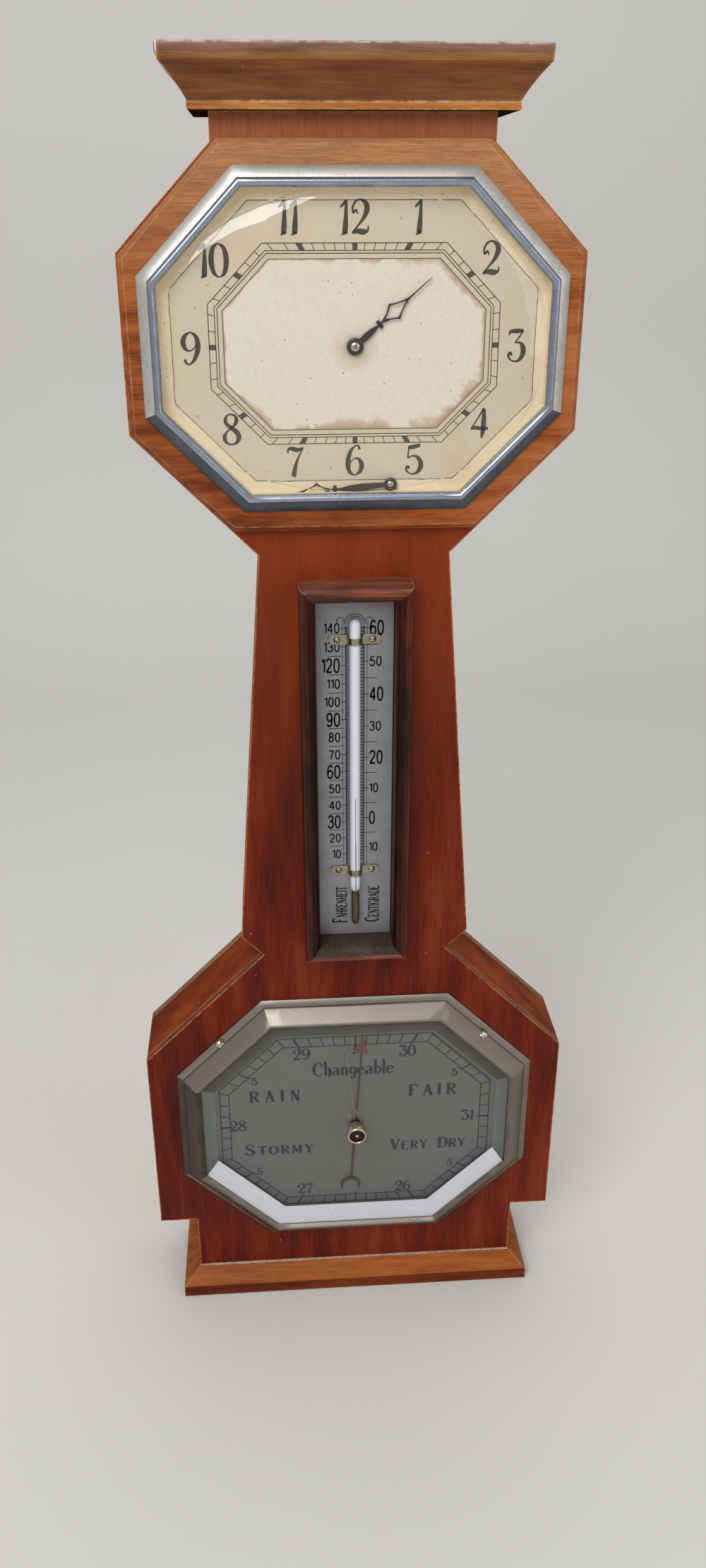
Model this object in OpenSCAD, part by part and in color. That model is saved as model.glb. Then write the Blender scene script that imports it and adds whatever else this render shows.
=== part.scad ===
// Barometer clock: an octagonal clock above a thermometer and an aneroid barometer, in one
// tall veneered case that stands on its plinth or hangs by a keyhole plate at its back.
// Millimetres. +Z is up, +X is to the viewer's right and the front faces -Y. The origin lies
// on the floor, under the middle of the case.

/* [Case] */
// Depth of the case behind its veneered front
case_depth = 52; // [50:0.5:70]
// Thickness of the side walls
wall_t = 8; // [6:0.5:10]
// Thickness of the veneered front panel
panel_t = 6; // [4:0.5:8]
// Thickness of the back board
back_t = 6; // [4:0.5:8]
// Half width of the neck under the cornice
neck_half = 66.6; // [60:0.2:74]
// Height of the straight neck
neck_h = 12.5; // [6:0.5:30]
// Ledge of the case round the clock board
head_ledge = 1.4; // [0.6:0.2:4]
// Half width of the trunk at its top
trunk_top_half = 50.8; // [46:0.2:56]
// Half width of the trunk at its bottom
trunk_bottom_half = 69.2; // [64:0.2:76]
// Depth of the notch between the trunk and the shoulders
notch_in = 13; // [6:0.5:16]
// Half width of the lower case
lower_half = 133.6; // [128:0.2:145]
// Height of the lower case's upright sides
lower_side_h = 136.3; // [128:0.5:160]
// Step in from the lower case to the foot
foot_in = 24.9; // [12:0.5:30]
// Height of the foot above the plinth
foot_h = 42.6; // [36:0.5:60]

/* [Cornice and plinth] */
// Height of the cornice's lower fillet
fillet_h = 3.7; // [2:0.1:6]
// Reach of the lower fillet beyond the neck
fillet_out = 9.3; // [4:0.1:12]
// Height of the cornice's hollow moulding
cove_h = 14.6; // [10:0.1:20]
// Depth of the hollow below a straight splay
cove_hollow = 0.8; // [0:0.1:2]
// Height of the cornice's top fillet, with the chamfer below it
cornice_top_h = 7.4; // [4:0.1:12]
// Height of the chamfer below the top fillet
cornice_chamfer_h = 2.6; // [0.4:0.1:3.4]
// Reach of the cornice beyond the neck, at the sides and in front
cornice_out = 21.8; // [18:0.1:28]
// Reach of the top fillet beyond the hollow moulding
cove_step = 1.5; // [0.6:0.1:3]
// Height of the plinth
plinth_h = 17.7; // [12:0.1:30]
// Height of the plinth's upright edge
plinth_edge_h = 8.3; // [4:0.1:11]
// Reach of the plinth beyond the foot, at the sides and in front
plinth_out = 11.4; // [8:0.1:16]

/* [Clock board] */
// Half width of the applied board's face
board_half_w = 109.7; // [108:0.1:116]
// Half height of the applied board's face
board_half_h = 87.9; // [86:0.1:94]
// Leg of the board's cut corners
board_corner = 47.3; // [44:0.1:50]
// Thickness of the applied board
board_t = 7.3; // [6:0.1:10]
// Width of the board's bevelled edge
board_bevel = 2.4; // [1:0.1:4]

/* [Clock] */
// Breadth of the board left bare on each side of the clock's bezel
board_rim_w = 5.7; // [4:0.1:9]
// Breadth of the board left bare above and below the clock's bezel
board_rim_h = 8.3; // [6:0.1:11]
// Leg of the bezel's cut corners
clock_corner = 47.2; // [44:0.1:50]
// Height of the bezel above the board
clock_bezel_h = 6.9; // [5.5:0.1:9]
// Width of the bezel's sloping outer face
clock_slope_w = 5.6; // [4.8:0.1:6.4]
// Width of the bezel's rounded inner ridge
clock_ridge_w = 3.8; // [3:0.1:4.6]
// Depth of the dial's face behind the board's face
dial_recess = 3.1; // [2.4:0.1:4]
// Thickness of the clock's dial
dial_t = 0.8; // [0.6:0.1:1.2]
// Thickness of the clock's glass
clock_glass_t = 1.5; // [1.2:0.1:2]
// Rise of the domed glass above its edge
clock_dome = 4; // [2:0.5:5]

/* [Hands] */
// Length of the hour hand from its centre
hour_hand_l = 50; // [44:1:54]
// Direction of the hour hand, clockwise from twelve
hour_hand_angle = 50; // [40:1:60]
// Length of the minute hand from its centre
minute_hand_l = 60; // [52:1:62]
// Thickness of the hands
hand_t = 0.5; // [0.4:0.1:0.6]

/* [Clock movement] */
// Room for the motion work between the dial and the front plate
motion_gap = 9; // [9:0.1:10]
// Thickness of the movement's plates
plate_t = 1.5; // [1.2:0.1:2]
// Gap between the movement's plates
train_gap = 21; // [20.6:0.1:22]
// Width of the movement's plates
plate_w = 66; // [66:1:70]
// Height of the movement's plates
plate_h = 82; // [82:1:90]
// Radius of the thin pivots at the ends of the arbors
pivot_r = 0.5; // [0.4:0.05:0.6]
// Radial running clearance of pivots and pipes
run_gap = 0.05; // [0.03:0.01:0.08]
// Distance from the centre arbor to the barrel
barrel_dist = 22; // [21.8:0.1:23]
// Distance from the centre arbor to the third arbor
third_dist = 14.4; // [14.2:0.1:15]
// Distance from the third arbor to the fourth arbor
fourth_dist = 12.24; // [12.2:0.02:12.6]
// Distance from the fourth arbor to the escape arbor
escape_dist = 11.44; // [11.4:0.02:11.8]
// Distance from the centre arbor to the minute wheel's post
minute_dist = 14.4; // [14:0.1:15]
// Radius of the balance wheel
balance_r = 9; // [8:0.1:9.2]
// Half width of the square access opening in the back board
access_half = 42; // [40:1:50]
// Gap between the three lengths of the back board
back_gap = 0.4; // [0.2:0.1:1]

/* [Thermometer] */
// Half width of the thermometer's frame
thermo_half = 30.6; // [30.4:0.1:33]
// Gap from the top of the trunk down to the frame
thermo_drop = 13.4; // [8:0.2:20]
// Reach of the frame below the end of the trunk
thermo_low = 8.2; // [4:0.2:24]
// Width of the frame's moulding
thermo_frame_w = 8.8; // [6:0.1:9]
// Height of the frame's moulding above the panel
thermo_frame_h = 20; // [16:0.5:21]
// Height of the moulding's flat sides, below its rounded front
thermo_side_h = 15; // [8:0.5:15.5]
// Half width of the silvered scale plate
scale_half = 21.3; // [19:0.1:22]
// Height of the silvered scale plate
scale_h = 213; // [196:1:216]
// Gap between the frame and the top of the scale plate
scale_gap_top = 0.6; // [0.4:0.1:10]
// Gap between the frame and the bottom of the scale plate
scale_gap_bottom = 0.6; // [0.4:0.1:20]
// Thickness of the silvered scale plate
scale_t = 1.5; // [1:0.1:2]
// Radius of the glass tube
tube_r = 3; // [2.6:0.1:3.2]
// Radius of the bulb
bulb_r = 2.4; // [2:0.1:2.8]
// Length of the bulb
bulb_l = 24; // [18:1:28]
// Height of the liquid's column above the bulb
column_h = 59; // [20:1:120]
// Height of the strap clips
clip_h = 6; // [4:0.1:7]
// Thickness of the strap clips
clip_t = 0.8; // [0.6:0.1:1]

/* [Barometer] */
// Height of the barometer's centre above the foot
baro_rise = 82.9; // [80:0.1:92]
// Half width of the barometer's bezel
baro_half_w = 115; // [112:0.5:118]
// Half height of the barometer's bezel
baro_half_h = 97.2; // [95:0.2:99]
// Leg of the barometer bezel's cut corners
baro_corner = 56; // [54:0.1:58]
// Height of the barometer's bezel above the panel
baro_bezel_h = 11.8; // [11.4:0.1:13]
// Width of the bezel's sloping outer flange
baro_flange_w = 9; // [8:0.1:10]
// Width of the bezel's raised inner ridge
baro_ridge_w = 6.2; // [5.4:0.1:7]
// Height of the dial's face above the panel
baro_dial_rise = 3.5; // [3:0.1:4]
// Thickness of the barometer's dial
baro_dial_t = 0.8; // [0.6:0.1:1.2]
// Thickness of the bevelled glass
baro_glass_t = 2.5; // [2:0.1:2.8]
// Thickness of the bevelled glass at its edge
baro_glass_edge = 1; // [0.8:0.1:1.2]
// Width of the glass's bevel
baro_glass_bevel = 15.5; // [6:0.5:16]
// Length of the indicating hand from its centre
pointer_l = 70; // [60:1:74]
// Length of the indicating hand's tail, up to its crescent
pointer_tail = 47; // [30:0.5:50]
// Length of the indicating hand's arrow head
arrow_l = 14; // [10:0.5:18]
// Half width of the indicating hand's arrow head
arrow_half = 3.6; // [3:0.1:6]
// Radius of the crescent that balances the indicating hand
crescent_r = 6.6; // [4:0.1:7]
// Radius of the set hand's knob
set_knob_r = 6.2; // [5:0.1:7]
// Reach of the knob's front beyond the dial
set_knob_reach = 15.6; // [11:0.1:17]
// Gap between the knob and the glass behind it
set_knob_gap = 0.8; // [0.4:0.1:2]
// Radius of the vacuum capsule
capsule_r = 24; // [20:0.5:25]
// Radius of the aneroid's base plate
aneroid_r = 50; // [49:0.5:52]
// Depth from the back of the dial to the aneroid's base plate
aneroid_gap = 30; // [29:0.5:31]

/* [Hanger] */
// Radius of the keyhole's round part
keyhole_r = 4; // [3.5:0.1:5]
// Half width of the keyhole's slot
keyslot_r = 2.2; // [1.8:0.1:2.4]
// Height of the hanger plate
hanger_h = 30; // [28:1:34]
// Thickness of the hanger plate
hanger_t = 2; // [1.5:0.1:2.5]

/* [Hidden] */
$fn = 48;

// Planes from front to back
back_y = (case_depth + cornice_out) / 2;
panel_y = back_y - case_depth;
board_y = panel_y - board_t;
dial_y = board_y + dial_recess;
dial_back_y = dial_y + dial_t;
front_plate_y = dial_back_y + motion_gap;
train_y = front_plate_y + plate_t;
back_plate_y = train_y + train_gap;
rear_y = back_plate_y + plate_t;
baro_dial_y = panel_y - baro_dial_rise;
baro_back_y = baro_dial_y + baro_dial_t;
aneroid_y = baro_back_y + aneroid_gap;

// Octagons, each as [half width, half height, leg of the cut corners]
clock_half_w = board_half_w - board_rim_w;
clock_half_h = board_half_h - board_rim_h;
clock_octa = [clock_half_w, clock_half_h, clock_corner];
board_octa = [board_half_w, board_half_h, board_corner];
baro_octa = [baro_half_w, baro_half_h, baro_corner];
head_octa = grown(board_octa, board_bevel + head_ledge);

// The scale plate sets the height of its frame, and the frame sets the height of the trunk
thermo_h = scale_h + scale_gap_top + scale_gap_bottom + 2 * thermo_frame_w;
trunk_h = thermo_drop + thermo_h - thermo_low;

// Heights of the outline's corners, from the floor up
foot_top_z = plinth_h + foot_h;
shoulder_z = foot_top_z + lower_side_h;
notch_half = trunk_bottom_half - notch_in;
notch_z = shoulder_z + lower_half - notch_half;
trunk_z = notch_z + notch_in;
head_z = trunk_z + trunk_h;
head_sum = head_octa[0] + head_octa[1] - head_octa[2];
clock_z = head_z + head_sum - trunk_top_half;
neck_z = clock_z + head_sum - neck_half;
top_z = neck_z + neck_h;
foot_half = lower_half - foot_in;
baro_z = foot_top_z + baro_rise;

// Right side of the case's outline, from the plinth up to the cornice
side_pts = [
    [foot_half, plinth_h], [foot_half, foot_top_z], [lower_half, foot_top_z],
    [lower_half, shoulder_z], [notch_half, notch_z], [trunk_bottom_half, trunk_z],
    [trunk_top_half, head_z], [head_octa[0], clock_z - head_octa[1] + head_octa[2]],
    [head_octa[0], clock_z + head_octa[1] - head_octa[2]], [neck_half, neck_z],
    [neck_half, top_z]];
notch_i = 4;
head_i = 6;
last_i = len(side_pts) - 1;
inner_pts = inset(side_pts, wall_t);
screw_line = inset(side_pts, wall_t / 2);

// Screws through the back board into the side walls
screw_r = 1.6;
screw_l = 18;
screw_head_r = 3.2;
wall_screws = [
    along(2, 0.2), along(2, 0.8), along(5, 0.25), along(5, 0.75), along(7, 0.2),
    along(7, 0.8)];

// Train: tooth numbers, places and layers
barrel_teeth = 60;
centre_teeth = 48;
third_teeth = 45;
fourth_teeth = 60;
pinion_teeth = 6;
escape_teeth = 15;
cannon_teeth = 10;
minute_teeth = 30;
minute_pinion_teeth = 8;
hour_teeth = 32;
arbor_r = 0.8;
end_shake = 0.3;
centre_pos = [0, clock_z];
barrel_angle = 225;
third_angle = 60;
fourth_angle = 170;
escape_angle = 150;
minute_angle = -60;
barrel_pos = centre_pos + polar(barrel_dist, barrel_angle);
third_pos = centre_pos + polar(third_dist, third_angle);
fourth_pos = third_pos + polar(fourth_dist, fourth_angle);
escape_pos = fourth_pos + polar(escape_dist, escape_angle);
pallet_dist = 7.2;
pallet_angle = 60;
pallet_pos = escape_pos + polar(pallet_dist, pallet_angle);
balance_dist = 11;
balance_pos = pallet_pos + [balance_dist, 0];
minute_pos = centre_pos + polar(minute_dist, minute_angle);
barrel_m = module_of(barrel_dist, barrel_teeth, pinion_teeth);
centre_m = module_of(third_dist, centre_teeth, pinion_teeth);
third_m = module_of(fourth_dist, third_teeth, pinion_teeth);
fourth_m = module_of(escape_dist, fourth_teeth, pinion_teeth);
minute_m = module_of(minute_dist, cannon_teeth, minute_teeth);
hour_m = module_of(minute_dist, minute_pinion_teeth, hour_teeth);
barrel_front_y = train_y + 1.2;
barrel_h = 12;
barrel_rim_t = 1.5;
centre_wheel_y = back_plate_y - 6.4;
third_wheel_y = train_y + 5.1;
fourth_wheel_y = train_y + 9.6;
escape_y = back_plate_y - 4;
wheel_t = 0.8;
escape_r = 5.2;
centre_arbor_r = 1;
centre_pipe_r = 1.8;
minute_post_r = 1;
hour_pipe_r = 2.7;
barrel_arbor_r = 2.5;
key_end_r = 2;
plate_centre_x = -7;
pillar_in = 4;
pillar_r = 2.5;
pillar_screw_r = 1.2;
ratchet_y = rear_y + 0.5;
ratchet_t = 1.5;
ratchet_r = 8;
ratchet_teeth = 24;
key_y = rear_y + 6;
balance_y = rear_y + 4;
cock_y = rear_y + 9.5;
cock_t = 1.5;
cock_reach = 13;
regulator_y = cock_y + cock_t + 0.2;
cock_boss_r = 2.4;
motion_t = 1.2;
minute_wheel_y = front_plate_y - 4;
hour_wheel_y = minute_wheel_y - 2.6;
click_pos = barrel_pos + [ratchet_r + 3, -5];
click_pin_r = 1;
hand_gap = 1.2;
hour_hand_y = dial_y - hand_gap - hand_t;
minute_hand_y = hour_hand_y - hand_gap;

// Thermometer
thermo_top_z = head_z - thermo_drop;
thermo_z = thermo_top_z - thermo_h / 2;
scale_top_z = thermo_top_z - thermo_frame_w - scale_gap_top;
scale_y = panel_y - scale_t;
tube_y = scale_y - tube_r;
bulb_lift = 9.1;
bulb_z = scale_top_z - scale_h + bulb_lift;
stem_z = bulb_z + bulb_l;
stem_drop = 11.9;
stem_top_z = scale_top_z - stem_drop;
bore_r = 0.9;
liquid_gap = 0.05;
clip_zs = [stem_top_z - 12, stem_z + 12];
clip_half = 14.5;
clip_screw_x = 9.8;
clip_screw_r = 0.8;
bulb_bore_r = bulb_r - 0.6;
bulb_bore_l = bulb_l - 6;

// Bezels: what stands inside their outer octagons
lip_w = 1.5;
glass_gap = 0.2;
clock_rim_w = clock_slope_w + clock_ridge_w;
clock_seat = grown(clock_octa, -(clock_rim_w - lip_w));
clock_hole = grown(clock_octa, -(clock_rim_w - lip_w - 1.3));
clock_glass_y = board_y - clock_bezel_h + 3.4;
baro_rim_w = baro_flange_w + baro_ridge_w;
baro_lip_w = 2.5;
baro_seat = grown(baro_octa, -(baro_rim_w - baro_lip_w));
baro_front_y = panel_y - baro_bezel_h;
baro_glass_y = baro_front_y + 3;
baro_hole_half = aneroid_r + 3;
bezel_screw_place = baro_edge_mid(baro_flange_w + 1.6);
bezel_screw_r = 1.4;
bezel_screw_l = 14;
bezel_head_r = 2.8;
bezel_head_y = baro_front_y + 1.6;
set_stem_r = 1.2;
baro_hand_t = 0.5;
set_hand_y = baro_glass_y + baro_glass_edge + 0.9;
pointer_y = baro_dial_y - 1.2;

// Aneroid movement
aneroid_t = 2;
capsule_x = -12;
capsule_h = 12;
capsule_y = aneroid_y - 2 - capsule_h;
bridge_x = -38;
bridge_half = 27;
leaf_t = 1.2;
leaf_y = capsule_y - 4;
lever_y = leaf_y + leaf_t / 2;
rocker_x = 34;
rocker_half = 14;
rocker_r = 1;
lever_x = -1.5;
lever_pin_r = 0.9;
adjust_r = 2.5;
adjust_head_r = 4;
pointer_bridge_y = baro_back_y + 6.5;
pointer_bridge_t = 1.5;
pointer_post = [16, 22];
pointer_arbor_r = 0.8;
drum_r = 1.6;

// Hanger
hanger_z = neck_z - 6;
hanger_half = 26;
hanger_screw_x = 18;

function polar(d, a) = d * [cos(a), sin(a)];
function module_of(dist, n, m) = 2 * dist / (n + m);
function octa_pts(o) = let(a = o[0], b = o[1], k = o[2]) [
    [a, k - b], [a, b - k], [a - k, b], [k - a, b],
    [-a, b - k], [-a, k - b], [k - a, -b], [a - k, -b]];
function grown(o, d) = [o[0] + d, o[1] + d, o[2] + d * (2 - sqrt(2))];
function rect_pts(w, h) = [[w, -h], [w, h], [-w, h], [-w, -h]];
function unit(v) = v / norm(v);
function left_of(v) = [-v[1], v[0]];

// Points of an open chain moved to its left by t, with mitred corners
function inset(p, t) = [for (i = [0 : len(p) - 1])
    let(n0 = left_of(unit(i == 0 ? p[1] - p[0] : p[i] - p[i - 1])),
        n1 = left_of(unit(i == len(p) - 1 ? p[i] - p[i - 1] : p[i + 1] - p[i])))
    p[i] + t * (n0 + n1) / (1 + n0 * n1)];

// Place along side i of the screw line, as a share of its length
function along(i, share) = screw_line[i] + share * (screw_line[i + 1] - screw_line[i]);

// Middle of the barometer bezel's upper right side, d inside its outer edge
function baro_edge_mid(d) = let(o = grown(baro_octa, -d))
    [o[0] - o[2] / 2, o[1] - o[2] / 2];

function reversed(p) = [for (i = [len(p) - 1 : -1 : 0]) p[i]];
function part_of(p, i0, i1) = [for (i = [i0 : i1]) p[i]];
function mirrored(p) = [for (q = reversed(p)) [-q[0], q[1]]];

// Teeth with narrow tips, so that meshed wheels run with backlash
function gear_pts(n, m, phase) = [for (k = [0 : n - 1])
    for (p = [[-0.2, -0.9], [-0.09, 0.6], [0.09, 0.6], [0.2, -0.9]])
    polar(m * (n / 2 + p[1]), phase + 360 / n * (k + p[0]))];

// Saw teeth of a ratchet or an escape wheel
function saw_pts(n, r, root, lean) = [for (k = [0 : n - 1])
    for (p = [[0, root], [lean, r], [lean + 0.08, r]]) polar(p[1], 360 / n * (k + p[0]))];

// Phase that sets wheel b's teeth between wheel a's, b lying at angle t from a
function mesh_phase(t, phase_a, n_a, n_b) =
    t + 180 - 360 / n_b * (0.5 - (t - phase_a) * n_a / 360);

centre_pinion_phase = 0;
barrel_phase = mesh_phase(barrel_angle, centre_pinion_phase, pinion_teeth, barrel_teeth);
centre_phase = 0;
third_pinion_phase = mesh_phase(third_angle, centre_phase, centre_teeth, pinion_teeth);
third_phase = 0;
fourth_pinion_phase = mesh_phase(fourth_angle, third_phase, third_teeth, pinion_teeth);
fourth_phase = 0;
escape_pinion_phase = mesh_phase(escape_angle, fourth_phase, fourth_teeth, pinion_teeth);
cannon_phase = 0;
minute_phase = mesh_phase(minute_angle, cannon_phase, cannon_teeth, minute_teeth);
minute_pinion_phase = 0;
hour_phase = mesh_phase(minute_angle + 180, minute_pinion_phase, minute_pinion_teeth,
    hour_teeth);

// Flat shape drawn in X and Z, as thick as from y0 back to y1
module slab(y0, y1) {
    translate([0, y1, 0]) rotate([90, 0, 0]) linear_extrude(y1 - y0) children();
}

// Round rod along Y at p = [x, z]
module rod(p, y0, y1, r) {
    translate([p[0], y1, p[1]]) rotate([90, 0, 0]) cylinder(h = y1 - y0, r = r);
}

// Countersunk cone along Y, widest at the back face y1
module sunk_head(p, y1, r_small, r_wide) {
    h = r_wide - r_small;
    translate([p[0], y1 - h, p[1]]) rotate([-90, 0, 0]) cylinder(h = h, r1 = r_small, r2 = r_wide);
}

// The children, and their mirror image on the left
module both_sides() {
    children();
    mirror([1, 0, 0]) children();
}

// Closed band round an outline: each profile point is [inset, y], from the outer back edge
// forward, inward and back again; outlines holds the outline for each of them
module band(outlines, ys, z) {
    n = len(outlines[0]);
    m = len(ys);
    polyhedron(
        points = [for (i = [0 : m - 1]) for (q = outlines[i]) [q[0], ys[i], q[1] + z]],
        faces = [for (i = [0 : m - 1]) for (j = [0 : n - 1])
            let(i1 = (i + 1) % m, j1 = (j + 1) % n)
            [i * n + j, i1 * n + j, i1 * n + j1, i * n + j1]]);
}

module octa_band(o, profile, z) {
    band([for (p = profile) octa_pts(grown(o, -p[0]))], [for (p = profile) p[1]], z);
}

// Solid through outlines at rising depth behind the front, with flat ends
module loft(outlines, ys, z) {
    n = len(outlines[0]);
    m = len(ys);
    polyhedron(
        points = [for (i = [0 : m - 1]) for (q = outlines[i]) [q[0], ys[i], q[1] + z]],
        faces = concat(
            [for (i = [0 : m - 2]) for (j = [0 : n - 1]) let(j1 = (j + 1) % n)
                [i * n + j, i * n + j1, (i + 1) * n + j1, (i + 1) * n + j]],
            [[for (j = [n - 1 : -1 : 0]) j], [for (j = [0 : n - 1]) (m - 1) * n + j]]));
}

// Moulded block that keeps its flat back: sections are [half width, front, height]
module moulded_block(sections) {
    m = len(sections);
    polyhedron(
        points = [for (s = sections) each [[s[0], s[1], s[2]], [s[0], back_y, s[2]],
            [-s[0], back_y, s[2]], [-s[0], s[1], s[2]]]],
        faces = concat(
            [for (i = [0 : m - 2]) for (j = [0 : 3]) let(j1 = (j + 1) % 4)
                [i * 4 + j, (i + 1) * 4 + j, (i + 1) * 4 + j1, i * 4 + j1]],
            [[0, 1, 2, 3], [for (j = [3 : -1 : 0]) (m - 1) * 4 + j]]));
}

module gear(p, n, m, phase, y0, y1) {
    translate([p[0], 0, p[1]]) slab(y0, y1) polygon(gear_pts(n, m, phase));
}

// Arbor between the plates, with its pivots in them
module arbor(p) {
    rod(p, train_y + end_shake, back_plate_y - end_shake, arbor_r);
    rod(p, front_plate_y, rear_y, pivot_r);
}

module wall_part(i0, i1) {
    both_sides() slab(panel_y + panel_t, back_y - back_t)
        polygon(concat(part_of(side_pts, i0, i1), reversed(part_of(inner_pts, i0, i1))));
}

module wall_screw_holes() {
    for (s = wall_screws) both_sides() rod(s, back_y - screw_l, back_y, screw_r);
}

module wall_screw_heads() {
    wall_screw_holes();
    for (s = wall_screws) both_sides() sunk_head(s, back_y, screw_r, screw_head_r);
}

// Part of the back board from corner i0 to corner i1 of the outline, raised at its foot
module back_length(i0, i1, raise) {
    p = concat([side_pts[i0] + [raise, raise]], part_of(side_pts, i0 + 1, i1));
    slab(back_y - back_t, back_y) polygon(concat(p, mirrored(p)));
}

// Three lengths, edge to edge: behind the lower case, the trunk and the head
module back_board() {
    color("#5a3a20") difference() {
        back_length(0, notch_i, 0);
        rod([capsule_x, baro_z], back_y - back_t - 1, back_y + 1, adjust_head_r + 2);
        wall_screw_heads();
    }
    color("#5a3a20") difference() {
        back_length(notch_i, head_i, back_gap);
        wall_screw_heads();
    }
    color("#5a3a20") difference() {
        back_length(head_i, last_i, back_gap);
        slab(back_y - back_t - 1, back_y + 1) translate(centre_pos)
            polygon(rect_pts(access_half, access_half));
        wall_screw_heads();
        slab(back_y - hanger_t, back_y + 1)
            translate([0, hanger_z]) polygon(rect_pts(hanger_half, hanger_h / 2));
        slab(back_y - back_t - 1, back_y) translate([0, hanger_z - 2])
            polygon(rect_pts(keyhole_r + 2, keyhole_r + 8));
        both_sides() rod([hanger_screw_x, hanger_z], back_y - back_t - 1, back_y, screw_r);
    }
}

module head_sides() {
    color("#6e3218") difference() {
        wall_part(head_i, last_i);
        wall_screw_holes();
    }
}

module trunk_sides() {
    color("#64280f") difference() {
        wall_part(notch_i, head_i);
        wall_screw_holes();
    }
}

module lower_sides() {
    color("#6e3218") difference() {
        wall_part(0, notch_i);
        wall_screw_holes();
    }
}

module front_panel() {
    color("#6b2a13") difference() {
        slab(panel_y, panel_y + panel_t) polygon(concat(side_pts, mirrored(side_pts)));
        slab(panel_y - 1, panel_y + panel_t + 1)
            translate([0, clock_z]) polygon(octa_pts(clock_hole));
        slab(panel_y - 1, panel_y + panel_t + 1)
            translate([0, baro_z]) polygon(rect_pts(baro_hole_half, baro_hole_half));
        both_sides() rod(bezel_screw_place + [0, baro_z], panel_y - 1,
            panel_y + panel_t + 1, bezel_screw_r);
    }
}

module clock_board() {
    color("#9a4a22") octa_band(board_octa, [
        [-board_bevel, panel_y], [-board_bevel, board_y + board_bevel], [0, board_y],
        [board_half_w - clock_hole[0], board_y], [board_half_w - clock_hole[0], panel_y]],
        clock_z);
}

module cornice() {
    steps = 8;
    cove_out = cornice_out - cove_step - fillet_out;
    z1 = top_z + fillet_h;
    z2 = z1 + cove_h;
    color("#6a3a22") moulded_block(concat(
        [for (s = concat(
            [[fillet_out, top_z]],
            [for (i = [0 : steps]) let(t = i / steps)
                [fillet_out + cove_out * t - 4 * cove_hollow * t * (1 - t), z1 + cove_h * t]],
            [[cornice_out, z2 + cornice_chamfer_h], [cornice_out, z2 + cornice_top_h]]))
            [neck_half + s[0], panel_y - s[0], s[1]]]));
}

module plinth() {
    color("#4a1e10") moulded_block([
        [foot_half + plinth_out, panel_y - plinth_out, 0],
        [foot_half + plinth_out, panel_y - plinth_out, plinth_edge_h],
        [foot_half, panel_y, plinth_h]]);
}

// Deep moulding with flat sides and a rounded front, in straight mitred lengths
module thermometer_frame() {
    steps = 8;
    profile = concat([for (i = [0 : steps]) let(a = 180 * i / steps)
        [thermo_frame_w / 2 * (1 - cos(a)),
            panel_y - thermo_side_h - (thermo_frame_h - thermo_side_h) * sin(a)]],
        [[thermo_frame_w, panel_y], [0, panel_y]]);
    color("#3a1a12") band(
        [for (p = profile) rect_pts(thermo_half - p[0], thermo_h / 2 - p[0])],
        [for (p = profile) p[1]], thermo_z);
}

module thermometer_plate() {
    color("#b9b4a6") difference() {
        slab(scale_y, panel_y) translate([0, scale_top_z - scale_h / 2])
            polygon(rect_pts(scale_half, scale_h / 2));
        for (z = clip_zs) both_sides()
            rod([clip_screw_x, z], scale_y - 1, panel_y + 1, clip_screw_r);
    }
}

module thermometer_tube() {
    color("#eeece4") difference() {
        translate([0, tube_y, 0]) union() {
            translate([0, 0, stem_z]) cylinder(h = stem_top_z - stem_z, r = tube_r);
            translate([0, 0, bulb_z + bulb_r]) cylinder(h = bulb_l, r = bulb_r);
            translate([0, 0, bulb_z + bulb_r]) sphere(r = bulb_r);
        }
        translate([0, tube_y, 0]) {
            translate([0, 0, bulb_z + bulb_r]) cylinder(h = stem_top_z - bulb_z - 8, r = bore_r);
            translate([0, 0, bulb_z + bulb_r]) cylinder(h = bulb_bore_l, r = bulb_bore_r);
        }
    }
}

module thermometer_liquid() {
    color("#58606a") translate([0, tube_y, bulb_z + bulb_r]) {
        cylinder(h = bulb_l + column_h, r = bore_r - liquid_gap);
        cylinder(h = bulb_bore_l, r = bulb_bore_r - liquid_gap);
    }
}

module tube_clips() {
    arch_r = tube_r + 0.05;
    color("#b08d4a") for (z = clip_zs) translate([0, 0, z - clip_h / 2]) difference() {
        union() {
            translate([0, tube_y, 0]) cylinder(h = clip_h, r = arch_r + clip_t);
            translate([-clip_half, scale_y - clip_t, 0]) cube([2 * clip_half, clip_t, clip_h]);
        }
        translate([0, tube_y, -1]) cylinder(h = clip_h + 2, r = arch_r);
        translate([-arch_r, tube_y, -1]) cube([2 * arch_r, tube_r + 1, clip_h + 2]);
        translate([-clip_half, scale_y, -1]) cube([2 * clip_half, tube_r * 2, clip_h + 2]);
        both_sides() translate([0, 0, clip_h / 2 - z])
            rod([clip_screw_x, z], scale_y - clip_t - 1, scale_y + 1, clip_screw_r);
    }
}

module clip_screws() {
    color("#9a7a3c") for (z = clip_zs) both_sides() difference() {
        union() {
            rod([clip_screw_x, z], scale_y - clip_t, panel_y, clip_screw_r);
            rod([clip_screw_x, z], scale_y - clip_t - 0.8, scale_y - clip_t, 1.7);
        }
        slab(scale_y - clip_t - 1, scale_y - clip_t - 0.4)
            translate([clip_screw_x, z]) rotate(35) polygon(rect_pts(2, 0.25));
    }
}

module clock_bezel() {
    w = clock_rim_w;
    f = board_y - clock_bezel_h;
    color("#c9c8c0") octa_band(clock_octa, [
        [0, board_y], [0, board_y - 1.2], [clock_slope_w - 0.5, f + 2.1],
        [clock_slope_w, f + 1.1], [clock_slope_w + clock_ridge_w * 0.3, f],
        [clock_slope_w + clock_ridge_w * 0.65, f + 0.2], [w, f + 1.5], [w, f + 3.4],
        [w - lip_w, f + 3.4], [w - lip_w, dial_back_y], [w - lip_w - 1, dial_back_y],
        [w - lip_w - 1, board_y]], clock_z);
}

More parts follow.
